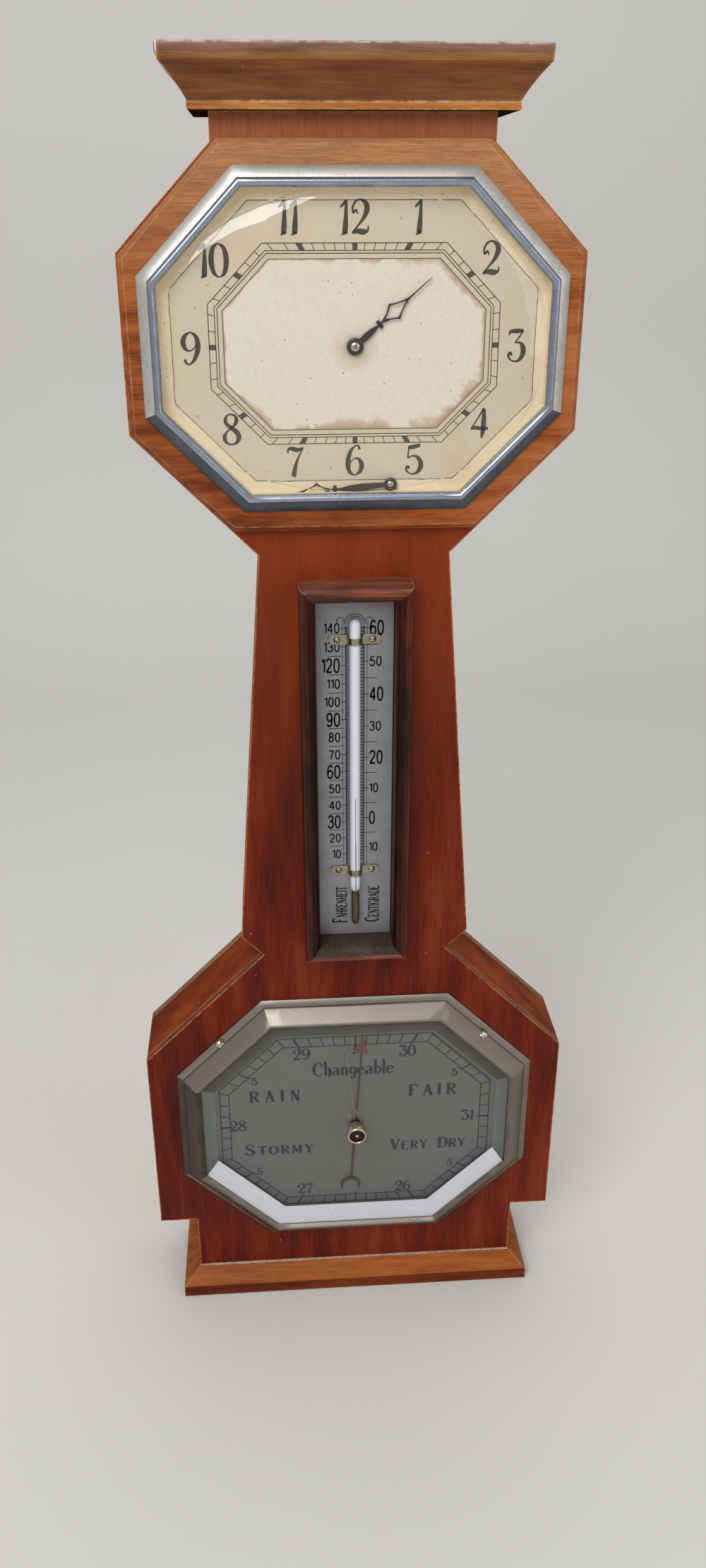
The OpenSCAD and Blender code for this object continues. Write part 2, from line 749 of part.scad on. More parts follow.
module clock_spacer() {
    color("#8d8a80") octa_band(grown(clock_seat, -glass_gap), [
        [0, dial_y], [0, clock_glass_y + clock_glass_t],
        [lip_w - glass_gap, clock_glass_y + clock_glass_t], [lip_w - glass_gap, dial_y]],
        clock_z);
}

// Slumped glass: a flat edge, then a shell that rises in steps towards its middle
module clock_glass() {
    rise = [[0, 0], [lip_w + 0.5, 0], [8, 0.4], [20, 0.75], [40, 0.96], [62, 1]];
    edge = grown(clock_seat, -glass_gap);
    y1 = clock_glass_y + clock_glass_t;
    color([0.8, 0.85, 0.85, 0.35]) difference() {
        loft([for (s = reversed(rise)) octa_pts(grown(edge, -s[0])), octa_pts(edge)],
            concat([for (s = reversed(rise)) clock_glass_y - clock_dome * s[1]], [y1]), clock_z);
        loft(concat([for (s = reversed(part_of(rise, 1, 5))) octa_pts(grown(edge, -s[0] - 1))],
            [octa_pts(grown(edge, -rise[1][0] - 1))]),
            concat([for (s = reversed(part_of(rise, 1, 5))) y1 - clock_dome * s[1]], [y1 + 1]),
            clock_z);
    }
}

module clock_dial() {
    color("#e6dfc4") difference() {
        slab(dial_y, dial_back_y) translate([0, clock_z])
            polygon(octa_pts(grown(clock_seat, -glass_gap)));
        rod(centre_pos, dial_y - 1, dial_back_y + 1, hour_pipe_r + 0.5);
    }
}

// Hand along +Z: a hub, a thin neck, an open diamond and a tapering blade
module hand(l, hub_r, neck_w, open_z, open_w, open_h, rim) {
    slab(0, hand_t) difference() {
        polygon([[-neck_w, 0], [-neck_w * 0.6, open_z - open_h], [-open_w, open_z],
            [-neck_w * 0.9, open_z + open_h], [0, l], [neck_w * 0.9, open_z + open_h],
            [open_w, open_z], [neck_w * 0.6, open_z - open_h], [neck_w, 0]]);
        translate([0, open_z]) polygon([[open_w - rim, 0], [0, open_h - 1.4 * rim],
            [rim - open_w, 0], [0, 1.4 * rim - open_h]]);
    }
    slab(0, hand_t) circle(r = hub_r);
}

module hour_hand() {
    y0 = hour_hand_y;
    color("#2b2620") difference() {
        translate([0, y0, clock_z]) rotate([0, hour_hand_angle, 0])
            hand(hour_hand_l, 4.1, 1.3, 27, 5.2, 7, 1.3);
        rod(centre_pos, y0 - 1, y0 + hand_t + 1, hour_pipe_r);
    }
}

// The minute hand has come off and lies on the edge below the dial
module minute_hand() {
    y0 = minute_hand_y;
    x = 18;
    z = clock_z - clock_half_h + clock_rim_w + 3.45;
    color("#2b2620") difference() {
        translate([x, y0, z]) rotate([0, -90, 0])
            hand(minute_hand_l, 3.4, 1.3, 34, 2.6, 6, 1.1);
        rod([x, z], y0 - 1, y0 + hand_t + 1, 1.3);
    }
}

module movement_plate(y0) {
    slab(y0, y0 + plate_t) translate([plate_centre_x, clock_z])
        polygon(octa_pts([plate_w / 2, plate_h / 2, 4]));
}

module pillar_places() {
    for (x = [-1, 1], z = [-1, 1])
        translate([plate_centre_x + x * (plate_w / 2 - pillar_in), 0,
            clock_z + z * (plate_h / 2 - pillar_in)]) children();
}

module pivot_holes(y0) {
    for (p = [third_pos, fourth_pos, escape_pos, pallet_pos])
        rod(p, y0 - 1, y0 + plate_t + 1, pivot_r + run_gap);
    rod(barrel_pos, y0 - 1, y0 + plate_t + 1, barrel_arbor_r + run_gap);
    rod(centre_pos, y0 - 1, y0 + plate_t + 1, centre_arbor_r + run_gap);
}

module movement_front_plate() {
    color("#c2a25a") {
        difference() {
            movement_plate(front_plate_y);
            pivot_holes(front_plate_y);
            rod(balance_pos, front_plate_y - 1, train_y + 1, pivot_r + run_gap);
        }
        rod(minute_pos, dial_back_y + 0.8, front_plate_y, minute_post_r);
    }
}

module movement_back_plate() {
    color("#c2a25a") {
        difference() {
            movement_plate(back_plate_y);
            pivot_holes(back_plate_y);
            rod(balance_pos, back_plate_y - 1, rear_y + 1, arbor_r + 0.5);
            pillar_places() rod([0, 0], back_plate_y - 1, rear_y + 1, pillar_screw_r);
        }
        rod(click_pos, rear_y, ratchet_y + ratchet_t + 0.5, click_pin_r);
    }
}

// Pillars between the plates, and the dial's posts in front of them
module movement_pillars() {
    color("#c9ab66") pillar_places() {
        rod([0, 0], dial_back_y, front_plate_y, pillar_r);
        difference() {
            rod([0, 0], train_y, back_plate_y, pillar_r);
            rod([0, 0], back_plate_y - 6, back_plate_y + 1, pillar_screw_r);
        }
    }
}

module plate_screws() {
    color("#5f666e") pillar_places() difference() {
        union() {
            rod([0, 0], back_plate_y - 5, rear_y, pillar_screw_r);
            rod([0, 0], rear_y, rear_y + 1.4, 2.4);
        }
        slab(rear_y + 0.8, rear_y + 2) polygon(rect_pts(2.6, 0.3));
    }
}

module barrel() {
    y0 = barrel_front_y;
    drum_r1 = barrel_m * (barrel_teeth / 2 - 1);
    color("#caa75a") difference() {
        union() {
            gear(barrel_pos, barrel_teeth, barrel_m, barrel_phase, y0, y0 + barrel_rim_t);
            rod(barrel_pos, y0, y0 + barrel_h, drum_r1);
        }
        rod(barrel_pos, y0 + 1, y0 + barrel_h - 1, drum_r1 - 1.2);
        rod(barrel_pos, y0 - 1, y0 + barrel_h + 1, barrel_arbor_r + run_gap);
    }
}

// Flat coil between the arbor's hook and the barrel's wall
module mainspring() {
    turns = 5;
    per_turn = 18;
    r0 = barrel_arbor_r + 1.5;
    r1 = barrel_m * (barrel_teeth / 2 - 1) - 1.6;
    n = turns * per_turn;
    t = 0.5;
    color("#4d5560") translate([barrel_pos[0], 0, barrel_pos[1]])
        slab(barrel_front_y + 1.4, barrel_front_y + barrel_h - 1.4)
        polygon(concat(
            [for (i = [0 : n]) polar(r0 + (r1 - r0 - t) * i / n, 360 * i / per_turn)],
            [for (i = [n : -1 : 0]) polar(r0 + t + (r1 - r0 - t) * i / n, 360 * i / per_turn)]));
}

module barrel_arbor() {
    color("#7d848c") {
        rod(barrel_pos, front_plate_y, ratchet_y + ratchet_t, barrel_arbor_r);
        rod(barrel_pos, ratchet_y + ratchet_t, key_y + 6, key_end_r);
        translate([barrel_pos[0], 0, barrel_pos[1]]) slab(ratchet_y, ratchet_y + ratchet_t)
            polygon(saw_pts(ratchet_teeth, ratchet_r, ratchet_r - 1, 0.8));
    }
}

module click() {
    color("#6d747c") difference() {
        translate([click_pos[0], 0, click_pos[1]]) slab(ratchet_y, ratchet_y + ratchet_t) {
            circle(r = 2.2);
            polygon([[-1.9, 0.8], [1.8, 1.2], [-1.5, 7.4], [-2.9, 6.9]]);
        }
        rod(click_pos, ratchet_y - 1, ratchet_y + ratchet_t + 1, click_pin_r + run_gap);
    }
}

module winding_key() {
    pipe_r = 3.6;
    color("#b99a52") difference() {
        union() {
            rod(barrel_pos, key_y, key_y + 8, pipe_r);
            translate([barrel_pos[0], 0, barrel_pos[1]]) for (s = [-1, 1])
                slab(key_y + 5, key_y + 6.5) translate([s * 8, 0]) circle(r = 5.5);
            slab(key_y + 5, key_y + 6.5) translate(barrel_pos) polygon(rect_pts(6, 2.5));
        }
        rod(barrel_pos, key_y - 1, key_y + 6, key_end_r);
    }
}

module centre_arbor() {
    color("#8b9096") {
        rod(centre_pos, dial_y - 3 * hand_gap, key_y + 4, centre_arbor_r);
        rod(centre_pos, dial_y - 2.4 * hand_gap, front_plate_y - 0.5, centre_pipe_r);
        gear(centre_pos, cannon_teeth, minute_m, cannon_phase,
            minute_wheel_y - 0.6, minute_wheel_y + motion_t + 0.2);
    }
}

module centre_wheel() {
    color("#c7a558") difference() {
        union() {
            gear(centre_pos, centre_teeth, centre_m, centre_phase,
                centre_wheel_y, centre_wheel_y + wheel_t);
            gear(centre_pos, pinion_teeth, barrel_m, centre_pinion_phase,
                train_y + 0.6, train_y + 3.2);
            rod(centre_pos, train_y + 0.6, train_y + 1, barrel_m * 2);
            rod(centre_pos, train_y + 3, centre_wheel_y + 2, centre_arbor_r + 0.5);
        }
        rod(centre_pos, train_y, back_plate_y, centre_arbor_r + run_gap);
    }
}

module train_wheel(p, teeth, m, phase, y, pinion_m, pinion_phase, pinion_y, pinion_l) {
    gear(p, teeth, m, phase, y, y + wheel_t);
    gear(p, pinion_teeth, pinion_m, pinion_phase, pinion_y, pinion_y + pinion_l);
    arbor(p);
}

module third_wheel() {
    color("#c7a558") train_wheel(third_pos, third_teeth, third_m, third_phase, third_wheel_y,
        centre_m, third_pinion_phase, centre_wheel_y - 0.6, 2);
}

module fourth_wheel() {
    color("#c7a558") train_wheel(fourth_pos, fourth_teeth, fourth_m, fourth_phase,
        fourth_wheel_y, third_m, fourth_pinion_phase, third_wheel_y - 0.6, 2);
}

module escape_wheel() {
    color("#c7a558") {
        translate([escape_pos[0], 0, escape_pos[1]]) slab(escape_y, escape_y + wheel_t)
            polygon(saw_pts(escape_teeth, escape_r, escape_r - 1.5, 0.7));
        gear(escape_pos, pinion_teeth, fourth_m, escape_pinion_phase,
            fourth_wheel_y - 0.5, fourth_wheel_y + 1.2);
        arbor(escape_pos);
    }
}

// Straight bar from p to q
module bar(p, q, w) {
    translate(p) rotate(atan2(q[1] - p[1], q[0] - p[0]))
        translate([0, -w / 2]) square([norm(q - p), w]);
}

module pallet_lever() {
    stone_r = 6.3;
    stone_a = 38;
    fork = balance_dist - 2.9;
    color("#9aa0a6") {
        slab(escape_y, escape_y + wheel_t) {
            for (s = [-1, 1])
                bar(pallet_pos, escape_pos + polar(stone_r, pallet_angle + s * stone_a), 0.9);
            bar(pallet_pos, pallet_pos + [fork - 1.4, 0], 0.9);
            for (s = [-1, 1])
                translate(pallet_pos + [fork - 1.6, s * 0.75 - 0.35]) square([1.6, 0.7]);
            translate(pallet_pos + [fork - 1.6, -0.9]) square([0.5, 1.8]);
            translate(pallet_pos) circle(r = 1.4);
        }
        arbor(pallet_pos);
    }
}

module balance_wheel() {
    color("#cdb06a") {
        slab(balance_y, balance_y + 1) translate(balance_pos) {
            difference() {
                circle(r = balance_r);
                circle(r = balance_r - 1.3);
            }
            square([2 * balance_r - 1.6, 1.4], center = true);
            circle(r = 1.8);
        }
        rod(balance_pos, train_y + end_shake, cock_y - end_shake, arbor_r);
        rod(balance_pos, front_plate_y, cock_y + cock_t, pivot_r);
        rod(balance_pos, escape_y - 0.7, escape_y - 0.3, 2.8);
        rod(balance_pos + [-2.4, 0], escape_y - 0.3, escape_y + wheel_t, 0.3);
    }
}

module hairspring() {
    turns = 4;
    per_turn = 18;
    n = turns * per_turn;
    t = 0.12;
    r0 = 1.5;
    r1 = 4.6;
    y0 = balance_y + 2;
    color("#3c5a86") {
        slab(y0, y0 + 0.6) translate(balance_pos) polygon(concat(
            [for (i = [0 : n]) polar(r0 - t + (r1 - r0) * i / n, 360 * i / per_turn)],
            [for (i = [n : -1 : 0]) polar(r0 + (r1 - r0) * i / n, 360 * i / per_turn)]));
        difference() {
            rod(balance_pos, y0, y0 + 0.6, r0);
            rod(balance_pos, y0 - 1, y0 + 1, arbor_r);
        }
    }
}

module balance_cock() {
    post = balance_pos + [cock_reach, 0];
    color("#c2a25a") difference() {
        union() {
            rod(post, rear_y, cock_y, 3);
            rod(post, cock_y, cock_y + cock_t, 3);
            slab(cock_y, cock_y + cock_t) bar(balance_pos, post, 5);
            rod(balance_pos, cock_y, cock_y + cock_t + 1.6, cock_boss_r);
        }
        rod(balance_pos, cock_y - 1, cock_y + cock_t, pivot_r + run_gap);
    }
}

module regulator() {
    color("#5f666e") difference() {
        union() {
            slab(regulator_y, regulator_y + 0.8) translate(balance_pos)
                polygon([[-1.2, 0], [-0.3, 10], [0.3, 10], [1.2, 0]]);
            rod(balance_pos, regulator_y, regulator_y + 0.8, 3.8);
        }
        rod(balance_pos, regulator_y - 1, regulator_y + 2, cock_boss_r + run_gap);
    }
}

module minute_wheel() {
    wheel_y = minute_wheel_y;
    pinion_y = hour_wheel_y - 0.2;
    color("#c7a558") difference() {
        union() {
            gear(minute_pos, minute_teeth, minute_m, minute_phase, wheel_y, wheel_y + motion_t);
            gear(minute_pos, minute_pinion_teeth, hour_m, minute_pinion_phase,
                pinion_y, wheel_y);
        }
        rod(minute_pos, pinion_y - 1, wheel_y + 2, minute_post_r + run_gap);
    }
}

module hour_wheel() {
    y0 = hour_wheel_y;
    color("#c7a558") difference() {
        union() {
            gear(centre_pos, hour_teeth, hour_m, hour_phase, y0, y0 + motion_t);
            rod(centre_pos, hour_hand_y - 0.4, y0 + motion_t, hour_pipe_r);
        }
        rod(centre_pos, dial_y - 4 * hand_gap, front_plate_y, centre_pipe_r + run_gap);
    }
}

module setting_knob() {
    color("#b99a52") difference() {
        union() {
            rod(centre_pos, key_y, key_y + 3, 3);
            rod(centre_pos, key_y + 3, key_y + 7, 6);
        }
        rod(centre_pos, key_y - 1, key_y + 4, centre_arbor_r);
    }
}

module barometer_bezel() {
    w = baro_rim_w;
    f = baro_front_y;
    r = baro_flange_w;
    seat = w - baro_lip_w;
    color("#cfcdc4") difference() {
        octa_band(baro_octa, [
            [0, panel_y], [0, panel_y - 1.5], [r - 0.6, f + 4.4], [r, f + 1.4],
            [r + baro_ridge_w * 0.25, f + 0.2], [r + baro_ridge_w * 0.5, f],
            [w, f + 1.6], [w, f + 3], [seat, f + 3], [seat, panel_y]], baro_z);
        both_sides() {
            rod(bezel_screw_place + [0, baro_z], f - 1, bezel_head_y, bezel_head_r + 0.2);
            rod(bezel_screw_place + [0, baro_z], f - 1, panel_y + 1, bezel_screw_r);
        }
    }
}

module bezel_screws() {
    p = bezel_screw_place + [0, baro_z];
    color("#d8d6cc") both_sides() difference() {
        union() {
            rod(p, bezel_head_y, bezel_head_y + bezel_screw_l, bezel_screw_r);
            intersection() {
                translate([p[0], bezel_head_y + 1.3, p[1]]) sphere(r = bezel_head_r + 0.3);
                rod(p, bezel_head_y - 2.6, bezel_head_y, bezel_head_r);
            }
        }
        slab(bezel_head_y - 2.6, bezel_head_y - 0.9)
            translate(p) rotate(20) polygon(rect_pts(bezel_head_r + 0.2, 0.35));
    }
}

module barometer_glass() {
    edge = grown(baro_seat, -glass_gap);
    y1 = baro_glass_y + baro_glass_edge;
    y0 = y1 - baro_glass_t;
    color([0.75, 0.85, 0.8, 0.3]) difference() {
        loft([octa_pts(grown(edge, -baro_glass_bevel)), octa_pts(grown(edge, -baro_lip_w)),
            octa_pts(edge), octa_pts(edge)], [y0, baro_glass_y, baro_glass_y, y1], baro_z);
        rod([0, baro_z], y0 - 1, y1 + 1, set_stem_r + 0.8);
    }
}

module barometer_spacer() {
    edge = grown(baro_seat, -glass_gap);
    y0 = baro_glass_y + baro_glass_edge;
    w = baro_lip_w - glass_gap;
    color("#8d8a80") octa_band(edge, [[0, baro_dial_y], [0, y0], [w, y0], [w, baro_dial_y]],
        baro_z);
}

module barometer_dial() {
    color("#e4d9b8") difference() {
        slab(baro_dial_y, baro_back_y) translate([0, baro_z])
            polygon(octa_pts(grown(baro_seat, -glass_gap)));
        rod([0, baro_z], baro_dial_y - 1, baro_back_y + 1, pointer_arbor_r + 0.5);
    }
}

// Plain shaft with an arrow head, and a crescent that balances it
module indicating_hand() {
    y0 = pointer_y;
    w = 0.6;
    crescent_z = baro_z - pointer_tail - crescent_r + w;
    color("#3c1c1a") difference() {
        union() {
            slab(y0, y0 + baro_hand_t) translate([0, baro_z])
                polygon([[-w, -pointer_tail], [-w, pointer_l - arrow_l + 1.5],
                    [-arrow_half, pointer_l - arrow_l], [0, pointer_l],
                    [arrow_half, pointer_l - arrow_l], [w, pointer_l - arrow_l + 1.5],
                    [w, -pointer_tail]]);
            rod([0, baro_z], y0, y0 + baro_hand_t, 3);
            difference() {
                rod([0, crescent_z], y0, y0 + baro_hand_t, crescent_r);
                rod([0, crescent_z - 0.43 * crescent_r], y0 - 1, y0 + 1, 0.82 * crescent_r);
            }
        }
        rod([0, baro_z], y0 - 1, y0 + 1, pointer_arbor_r);
    }
}

module set_hand() {
    y0 = set_hand_y;
    color("#d8c9a0") difference() {
        union() {
            slab(y0, y0 + baro_hand_t) translate([0, baro_z]) rotate(6)
                polygon([[-1, 0], [-0.7, pointer_l - 8], [0, pointer_l - 5],
                    [0.7, pointer_l - 8], [1, 0]]);
            rod([0, baro_z], y0, y0 + baro_hand_t, 3);
        }
        rod([0, baro_z], y0 - 1, y0 + 1, set_stem_r);
    }
}

// Knurled brass knob on a stem through the glass
module set_knob() {
    y0 = baro_dial_y - set_knob_reach;
    y1 = baro_glass_y + baro_glass_edge - baro_glass_t - set_knob_gap;
    knurls = 36;
    color("#b58a3c") difference() {
        union() {
            translate([0, 0, baro_z]) slab(y0, y1)
                polygon([for (i = [0 : 2 * knurls - 1])
                    polar(set_knob_r - (i % 2) * 0.3, 180 / knurls * i)]);
            rod([0, baro_z], y1, set_hand_y + baro_hand_t, set_stem_r);
        }
        difference() {
            rod([0, baro_z], y0 - 1, y0 + 1.4, set_knob_r - 1.6);
            rod([0, baro_z], y0 - 2, y0 + 2, 1);
        }
    }
}

module aneroid_base() {
    color("#7a756a") difference() {
        union() {
            rod([0, baro_z], aneroid_y, aneroid_y + aneroid_t, aneroid_r);
            for (a = [60, 120, 240, 300])
                rod([0, baro_z] + polar(aneroid_r - 5, a), baro_back_y, aneroid_y, 2.5);
            for (s = [-1, 1]) translate([rocker_x - 3, lever_y - 2, baro_z + s * rocker_half - 1.5])
                cube([6, aneroid_y - lever_y + 2, 3]);
            pointer_bridge();
        }
        rod([capsule_x, baro_z], aneroid_y - 1, aneroid_y + aneroid_t + 1, adjust_r + run_gap);
        rod([0, baro_z], pointer_bridge_y - 1, pointer_bridge_y + pointer_bridge_t + 1,
            pointer_arbor_r + run_gap);
        translate([rocker_x, lever_y, baro_z - rocker_half - 2])
            cylinder(h = 2 * rocker_half + 4, r = rocker_r + run_gap);
    }
}

// Two posts and a cross piece that carry the inner end of the pointer's arbor
module pointer_bridge() {
    y0 = pointer_bridge_y;
    for (s = [-1, 1]) {
        post = [pointer_post[0], baro_z + s * pointer_post[1]];
        rod(post, y0, aneroid_y, 2);
        slab(y0, y0 + pointer_bridge_t) bar([0, baro_z], post, 4);
    }
    rod([0, baro_z], y0, y0 + pointer_bridge_t, 3);
}

// Corrugated capsule on its foot, with the post that pulls on the leaf spring
module vacuum_capsule() {
    rings = 4;
    color("#b8b2a0") {
        translate([capsule_x, capsule_y, baro_z]) rotate([-90, 0, 0]) rotate_extrude()
            polygon(concat(
                [[0, 1]],
                [for (i = [0 : rings]) let(r = 4 + (capsule_r - 6) * i / rings)
                    [r, (i % 2) * 0.9 + 0.6]],
                [[capsule_r, 4.6], [capsule_r, 5.4]],
                [for (i = [rings : -1 : 0]) let(r = 4 + (capsule_r - 6) * i / rings)
                    [r, 9.4 - (i % 2) * 0.9]],
                [[0, 9]]));
        rod([capsule_x, baro_z], leaf_y + leaf_t, capsule_y + 1.1, 2.5);
        rod([capsule_x, baro_z], capsule_y + 8.9, aneroid_y, 6);
    }
}

module spring_bridge() {
    y0 = leaf_y + leaf_t;
    color("#4c4f52") {
        translate([bridge_x - 3.5, y0, baro_z - bridge_half - 3])
            cube([7, 4, 2 * bridge_half + 6]);
        for (s = [-1, 1]) rod([bridge_x, baro_z + s * bridge_half], y0 + 4, aneroid_y, 3);
    }
}

// Leaf that widens towards the bridge; the ears at its tip carry the main lever
module leaf_spring() {
    ear_x = lever_x - 3.5;
    tip_x = ear_x + 1;
    color("#6d747c") difference() {
        union() {
            slab(leaf_y, leaf_y + leaf_t) translate([0, baro_z])
                polygon([[bridge_x - 3.5, -12], [bridge_x + 3.5, -12], [tip_x, -4.6], [tip_x, 4.6],
                    [bridge_x + 3.5, 12], [bridge_x - 3.5, 12]]);
            for (s = [-1, 1]) translate([ear_x, lever_y - 1.5, baro_z + s * 4 - 0.6])
                cube([5, 3, 1.2]);
        }
        translate([lever_x, lever_y, baro_z - 6]) cylinder(h = 12, r = lever_pin_r + run_gap);
    }
}

module main_lever() {
    color("#8b9096") {
        translate([lever_x, lever_y, baro_z - 5]) cylinder(h = 10, r = lever_pin_r);
        translate([lever_x, lever_y - 0.4, baro_z - 0.6])
            cube([rocker_x - 2.5 - lever_x, 0.8, 1.2]);
    }
}

module rocking_arbor() {
    color("#8b9096") translate([rocker_x, lever_y, baro_z]) {
        translate([0, 0, -rocker_half - 1.5]) cylinder(h = 2 * rocker_half + 3, r = rocker_r);
        translate([-2.2, -0.5, -1.5]) cube([1.6, 1, 3]);
        translate([-0.6, -9, 6]) cube([1.2, 9, 1.6]);
    }
}

module pointer_arbor() {
    color("#8b9096") {
        rod([0, baro_z], pointer_y - 0.4, pointer_bridge_y + pointer_bridge_t, pointer_arbor_r);
        rod([0, baro_z], baro_back_y + 3, baro_back_y + 6, drum_r);
    }
}

module adjusting_screw() {
    y1 = aneroid_y + aneroid_t;
    color("#b58a3c") difference() {
        union() {
            rod([capsule_x, baro_z], aneroid_y + 0.1, y1 + 0.1, adjust_r);
            rod([capsule_x, baro_z], y1 + 0.1, y1 + 4, adjust_head_r);
        }
        slab(y1 + 2.8, y1 + 5) translate([capsule_x, baro_z])
            polygon(rect_pts(adjust_head_r + 1, 0.5));
    }
}

// Keyhole plate let into the back board, flush with the back of the case
module hanger_plate() {
    color("#b08d4a") difference() {
        slab(back_y - hanger_t, back_y) translate([0, hanger_z])
            polygon(octa_pts([hanger_half, hanger_h / 2, 4]));
        rod([0, hanger_z - 6], back_y - hanger_t - 1, back_y + 1, keyhole_r);
        rod([0, hanger_z + 3], back_y - hanger_t - 1, back_y + 1, keyslot_r);
        slab(back_y - hanger_t - 1, back_y + 1) translate([-keyslot_r, hanger_z - 6])
            square([2 * keyslot_r, 9]);
        both_sides() {
            rod([hanger_screw_x, hanger_z], back_y - hanger_t - 1, back_y + 1, screw_r);
            sunk_head([hanger_screw_x, hanger_z], back_y, screw_r, screw_head_r);
        }
    }
}

module wood_screws() {
    color("#8a8478") {
        for (s = wall_screws) wood_screw(s, screw_l);
        wood_screw([hanger_screw_x, hanger_z], back_t + 3);
    }
}

module wood_screw(p, l) {
    both_sides() difference() {
        union() {
            rod(p, back_y - l, back_y - 0.2, screw_r);
            sunk_head(p, back_y, screw_r, screw_head_r);
        }
        slab(back_y - 0.8, back_y + 1) translate(p) rotate(30) polygon(rect_pts(4, 0.4));
    }
}

back_board();
head_sides();
trunk_sides();
lower_sides();
front_panel();
clock_board();
cornice();
plinth();
thermometer_frame();
thermometer_plate();
thermometer_tube();
thermometer_liquid();
tube_clips();
clip_screws();
clock_bezel();
clock_spacer();
clock_glass();
clock_dial();
hour_hand();
minute_hand();
movement_front_plate();
movement_back_plate();
movement_pillars();
plate_screws();
barrel();
mainspring();
barrel_arbor();
click();
winding_key();
centre_arbor();
centre_wheel();
third_wheel();
fourth_wheel();
escape_wheel();
pallet_lever();
balance_wheel();
hairspring();
balance_cock();
regulator();
minute_wheel();
hour_wheel();
setting_knob();
barometer_bezel();
bezel_screws();
barometer_glass();
barometer_spacer();
barometer_dial();
indicating_hand();
set_hand();
set_knob();
aneroid_base();
vacuum_capsule();
spring_bridge();
leaf_spring();
main_lever();
rocking_arbor();
pointer_arbor();
adjusting_screw();
hanger_plate();
wood_screws();
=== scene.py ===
import math
import random

import bmesh
import bpy
from mathutils import Matrix, Vector, noise


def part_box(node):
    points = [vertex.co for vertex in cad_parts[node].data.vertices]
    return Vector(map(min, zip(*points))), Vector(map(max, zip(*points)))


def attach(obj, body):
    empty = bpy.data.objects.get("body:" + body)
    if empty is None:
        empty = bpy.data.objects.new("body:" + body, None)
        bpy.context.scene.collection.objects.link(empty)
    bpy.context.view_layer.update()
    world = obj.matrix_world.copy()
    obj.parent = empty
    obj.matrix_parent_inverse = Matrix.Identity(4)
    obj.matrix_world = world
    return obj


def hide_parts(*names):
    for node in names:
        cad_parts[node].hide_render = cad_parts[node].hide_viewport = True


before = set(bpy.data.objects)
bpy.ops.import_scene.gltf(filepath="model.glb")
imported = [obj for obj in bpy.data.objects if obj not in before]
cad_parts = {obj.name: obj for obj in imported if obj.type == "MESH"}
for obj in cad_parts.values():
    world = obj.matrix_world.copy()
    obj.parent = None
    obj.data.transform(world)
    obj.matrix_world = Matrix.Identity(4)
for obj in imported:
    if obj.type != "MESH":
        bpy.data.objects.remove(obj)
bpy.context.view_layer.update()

mm = 0.001
tiny = 1e-6
clockZ = sum(corner[2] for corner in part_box("clock_board")) / 2 / mm
bpy.context.scene.view_settings.view_transform = "Standard"


# Shader helpers

def paint(code):
    # "#rrggbb" as a linear colour
    parts = [int(code[i:i + 2], 16) / 255 for i in (1, 3, 5)]
    return [p / 12.92 if p <= 0.04045 else ((p + 0.055) / 1.055) ** 2.4 for p in parts] + [1.0]


def feed(tree, node, inputs):
    # Links a socket to each named input, or sets its value
    for key, value in inputs.items():
        if isinstance(value, bpy.types.NodeSocket):
            tree.links.new(value, node.inputs[key])
        else:
            node.inputs[key].default_value = value


def addNode(tree, kind, inputs=None, **settings):
    node = tree.nodes.new("ShaderNode" + kind)
    for key, value in settings.items():
        setattr(node, key, value)
    feed(tree, node, inputs or {})
    return node


def calc(tree, operation, a, b=0.0, clamp=False):
    return addNode(tree, "Math", {0: a, 1: b}, operation=operation, use_clamp=clamp).outputs[0]


def plus(tree, a, b, clamp=False):
    return calc(tree, "ADD", a, b, clamp)


def minus(tree, a, b):
    return calc(tree, "SUBTRACT", a, b)


def times(tree, a, b, clamp=False):
    return calc(tree, "MULTIPLY", a, b, clamp)


def scaleFor(tree, size):
    # The texture scale that gives marks of this size in metres
    return calc(tree, "DIVIDE", 1.0, size)


def scaled(tree, vector, factors):
    return addNode(tree, "VectorMath", {0: vector, 1: factors}, operation="MULTIPLY").outputs[0]


def axes(tree, vector):
    return addNode(tree, "SeparateXYZ", {0: vector}).outputs


def mixColour(tree, factor, a, b):
    return addNode(tree, "Mix", {0: factor, 6: a, 7: b}, data_type="RGBA").outputs[2]


def spread(tree, value, low, high, toLow=0.0, toHigh=1.0):
    return addNode(tree, "MapRange", {0: value, 1: low, 2: high, 3: toLow, 4: toHigh}).outputs[0]


def cloud(tree, vector, scale, detail=3.0, rough=0.5):
    return addNode(tree, "TexNoise", {"Vector": vector, "Scale": scale, "Detail": detail,
                                      "Roughness": rough}).outputs["Fac"]


def objectPlace(tree):
    return addNode(tree, "TexCoord").outputs["Object"]


def startGroup(name, inputs, outputs):
    group = bpy.data.node_groups.new(name, "ShaderNodeTree")
    for label, kind, value in inputs:
        socket = group.interface.new_socket(label, in_out="INPUT", socket_type="NodeSocket" + kind)
        if value is not None:
            socket.default_value = value
    for label, kind in outputs:
        group.interface.new_socket(label, in_out="OUTPUT", socket_type="NodeSocket" + kind)
    inside = group.nodes.new("NodeGroupInput").outputs
    return group, inside, group.nodes.new("NodeGroupOutput")


def useGroup(tree, group, inputs):
    node = tree.nodes.new("ShaderNodeGroup")
    node.node_tree = group
    feed(tree, node, inputs)
    return node.outputs


# Groups that several finishes share

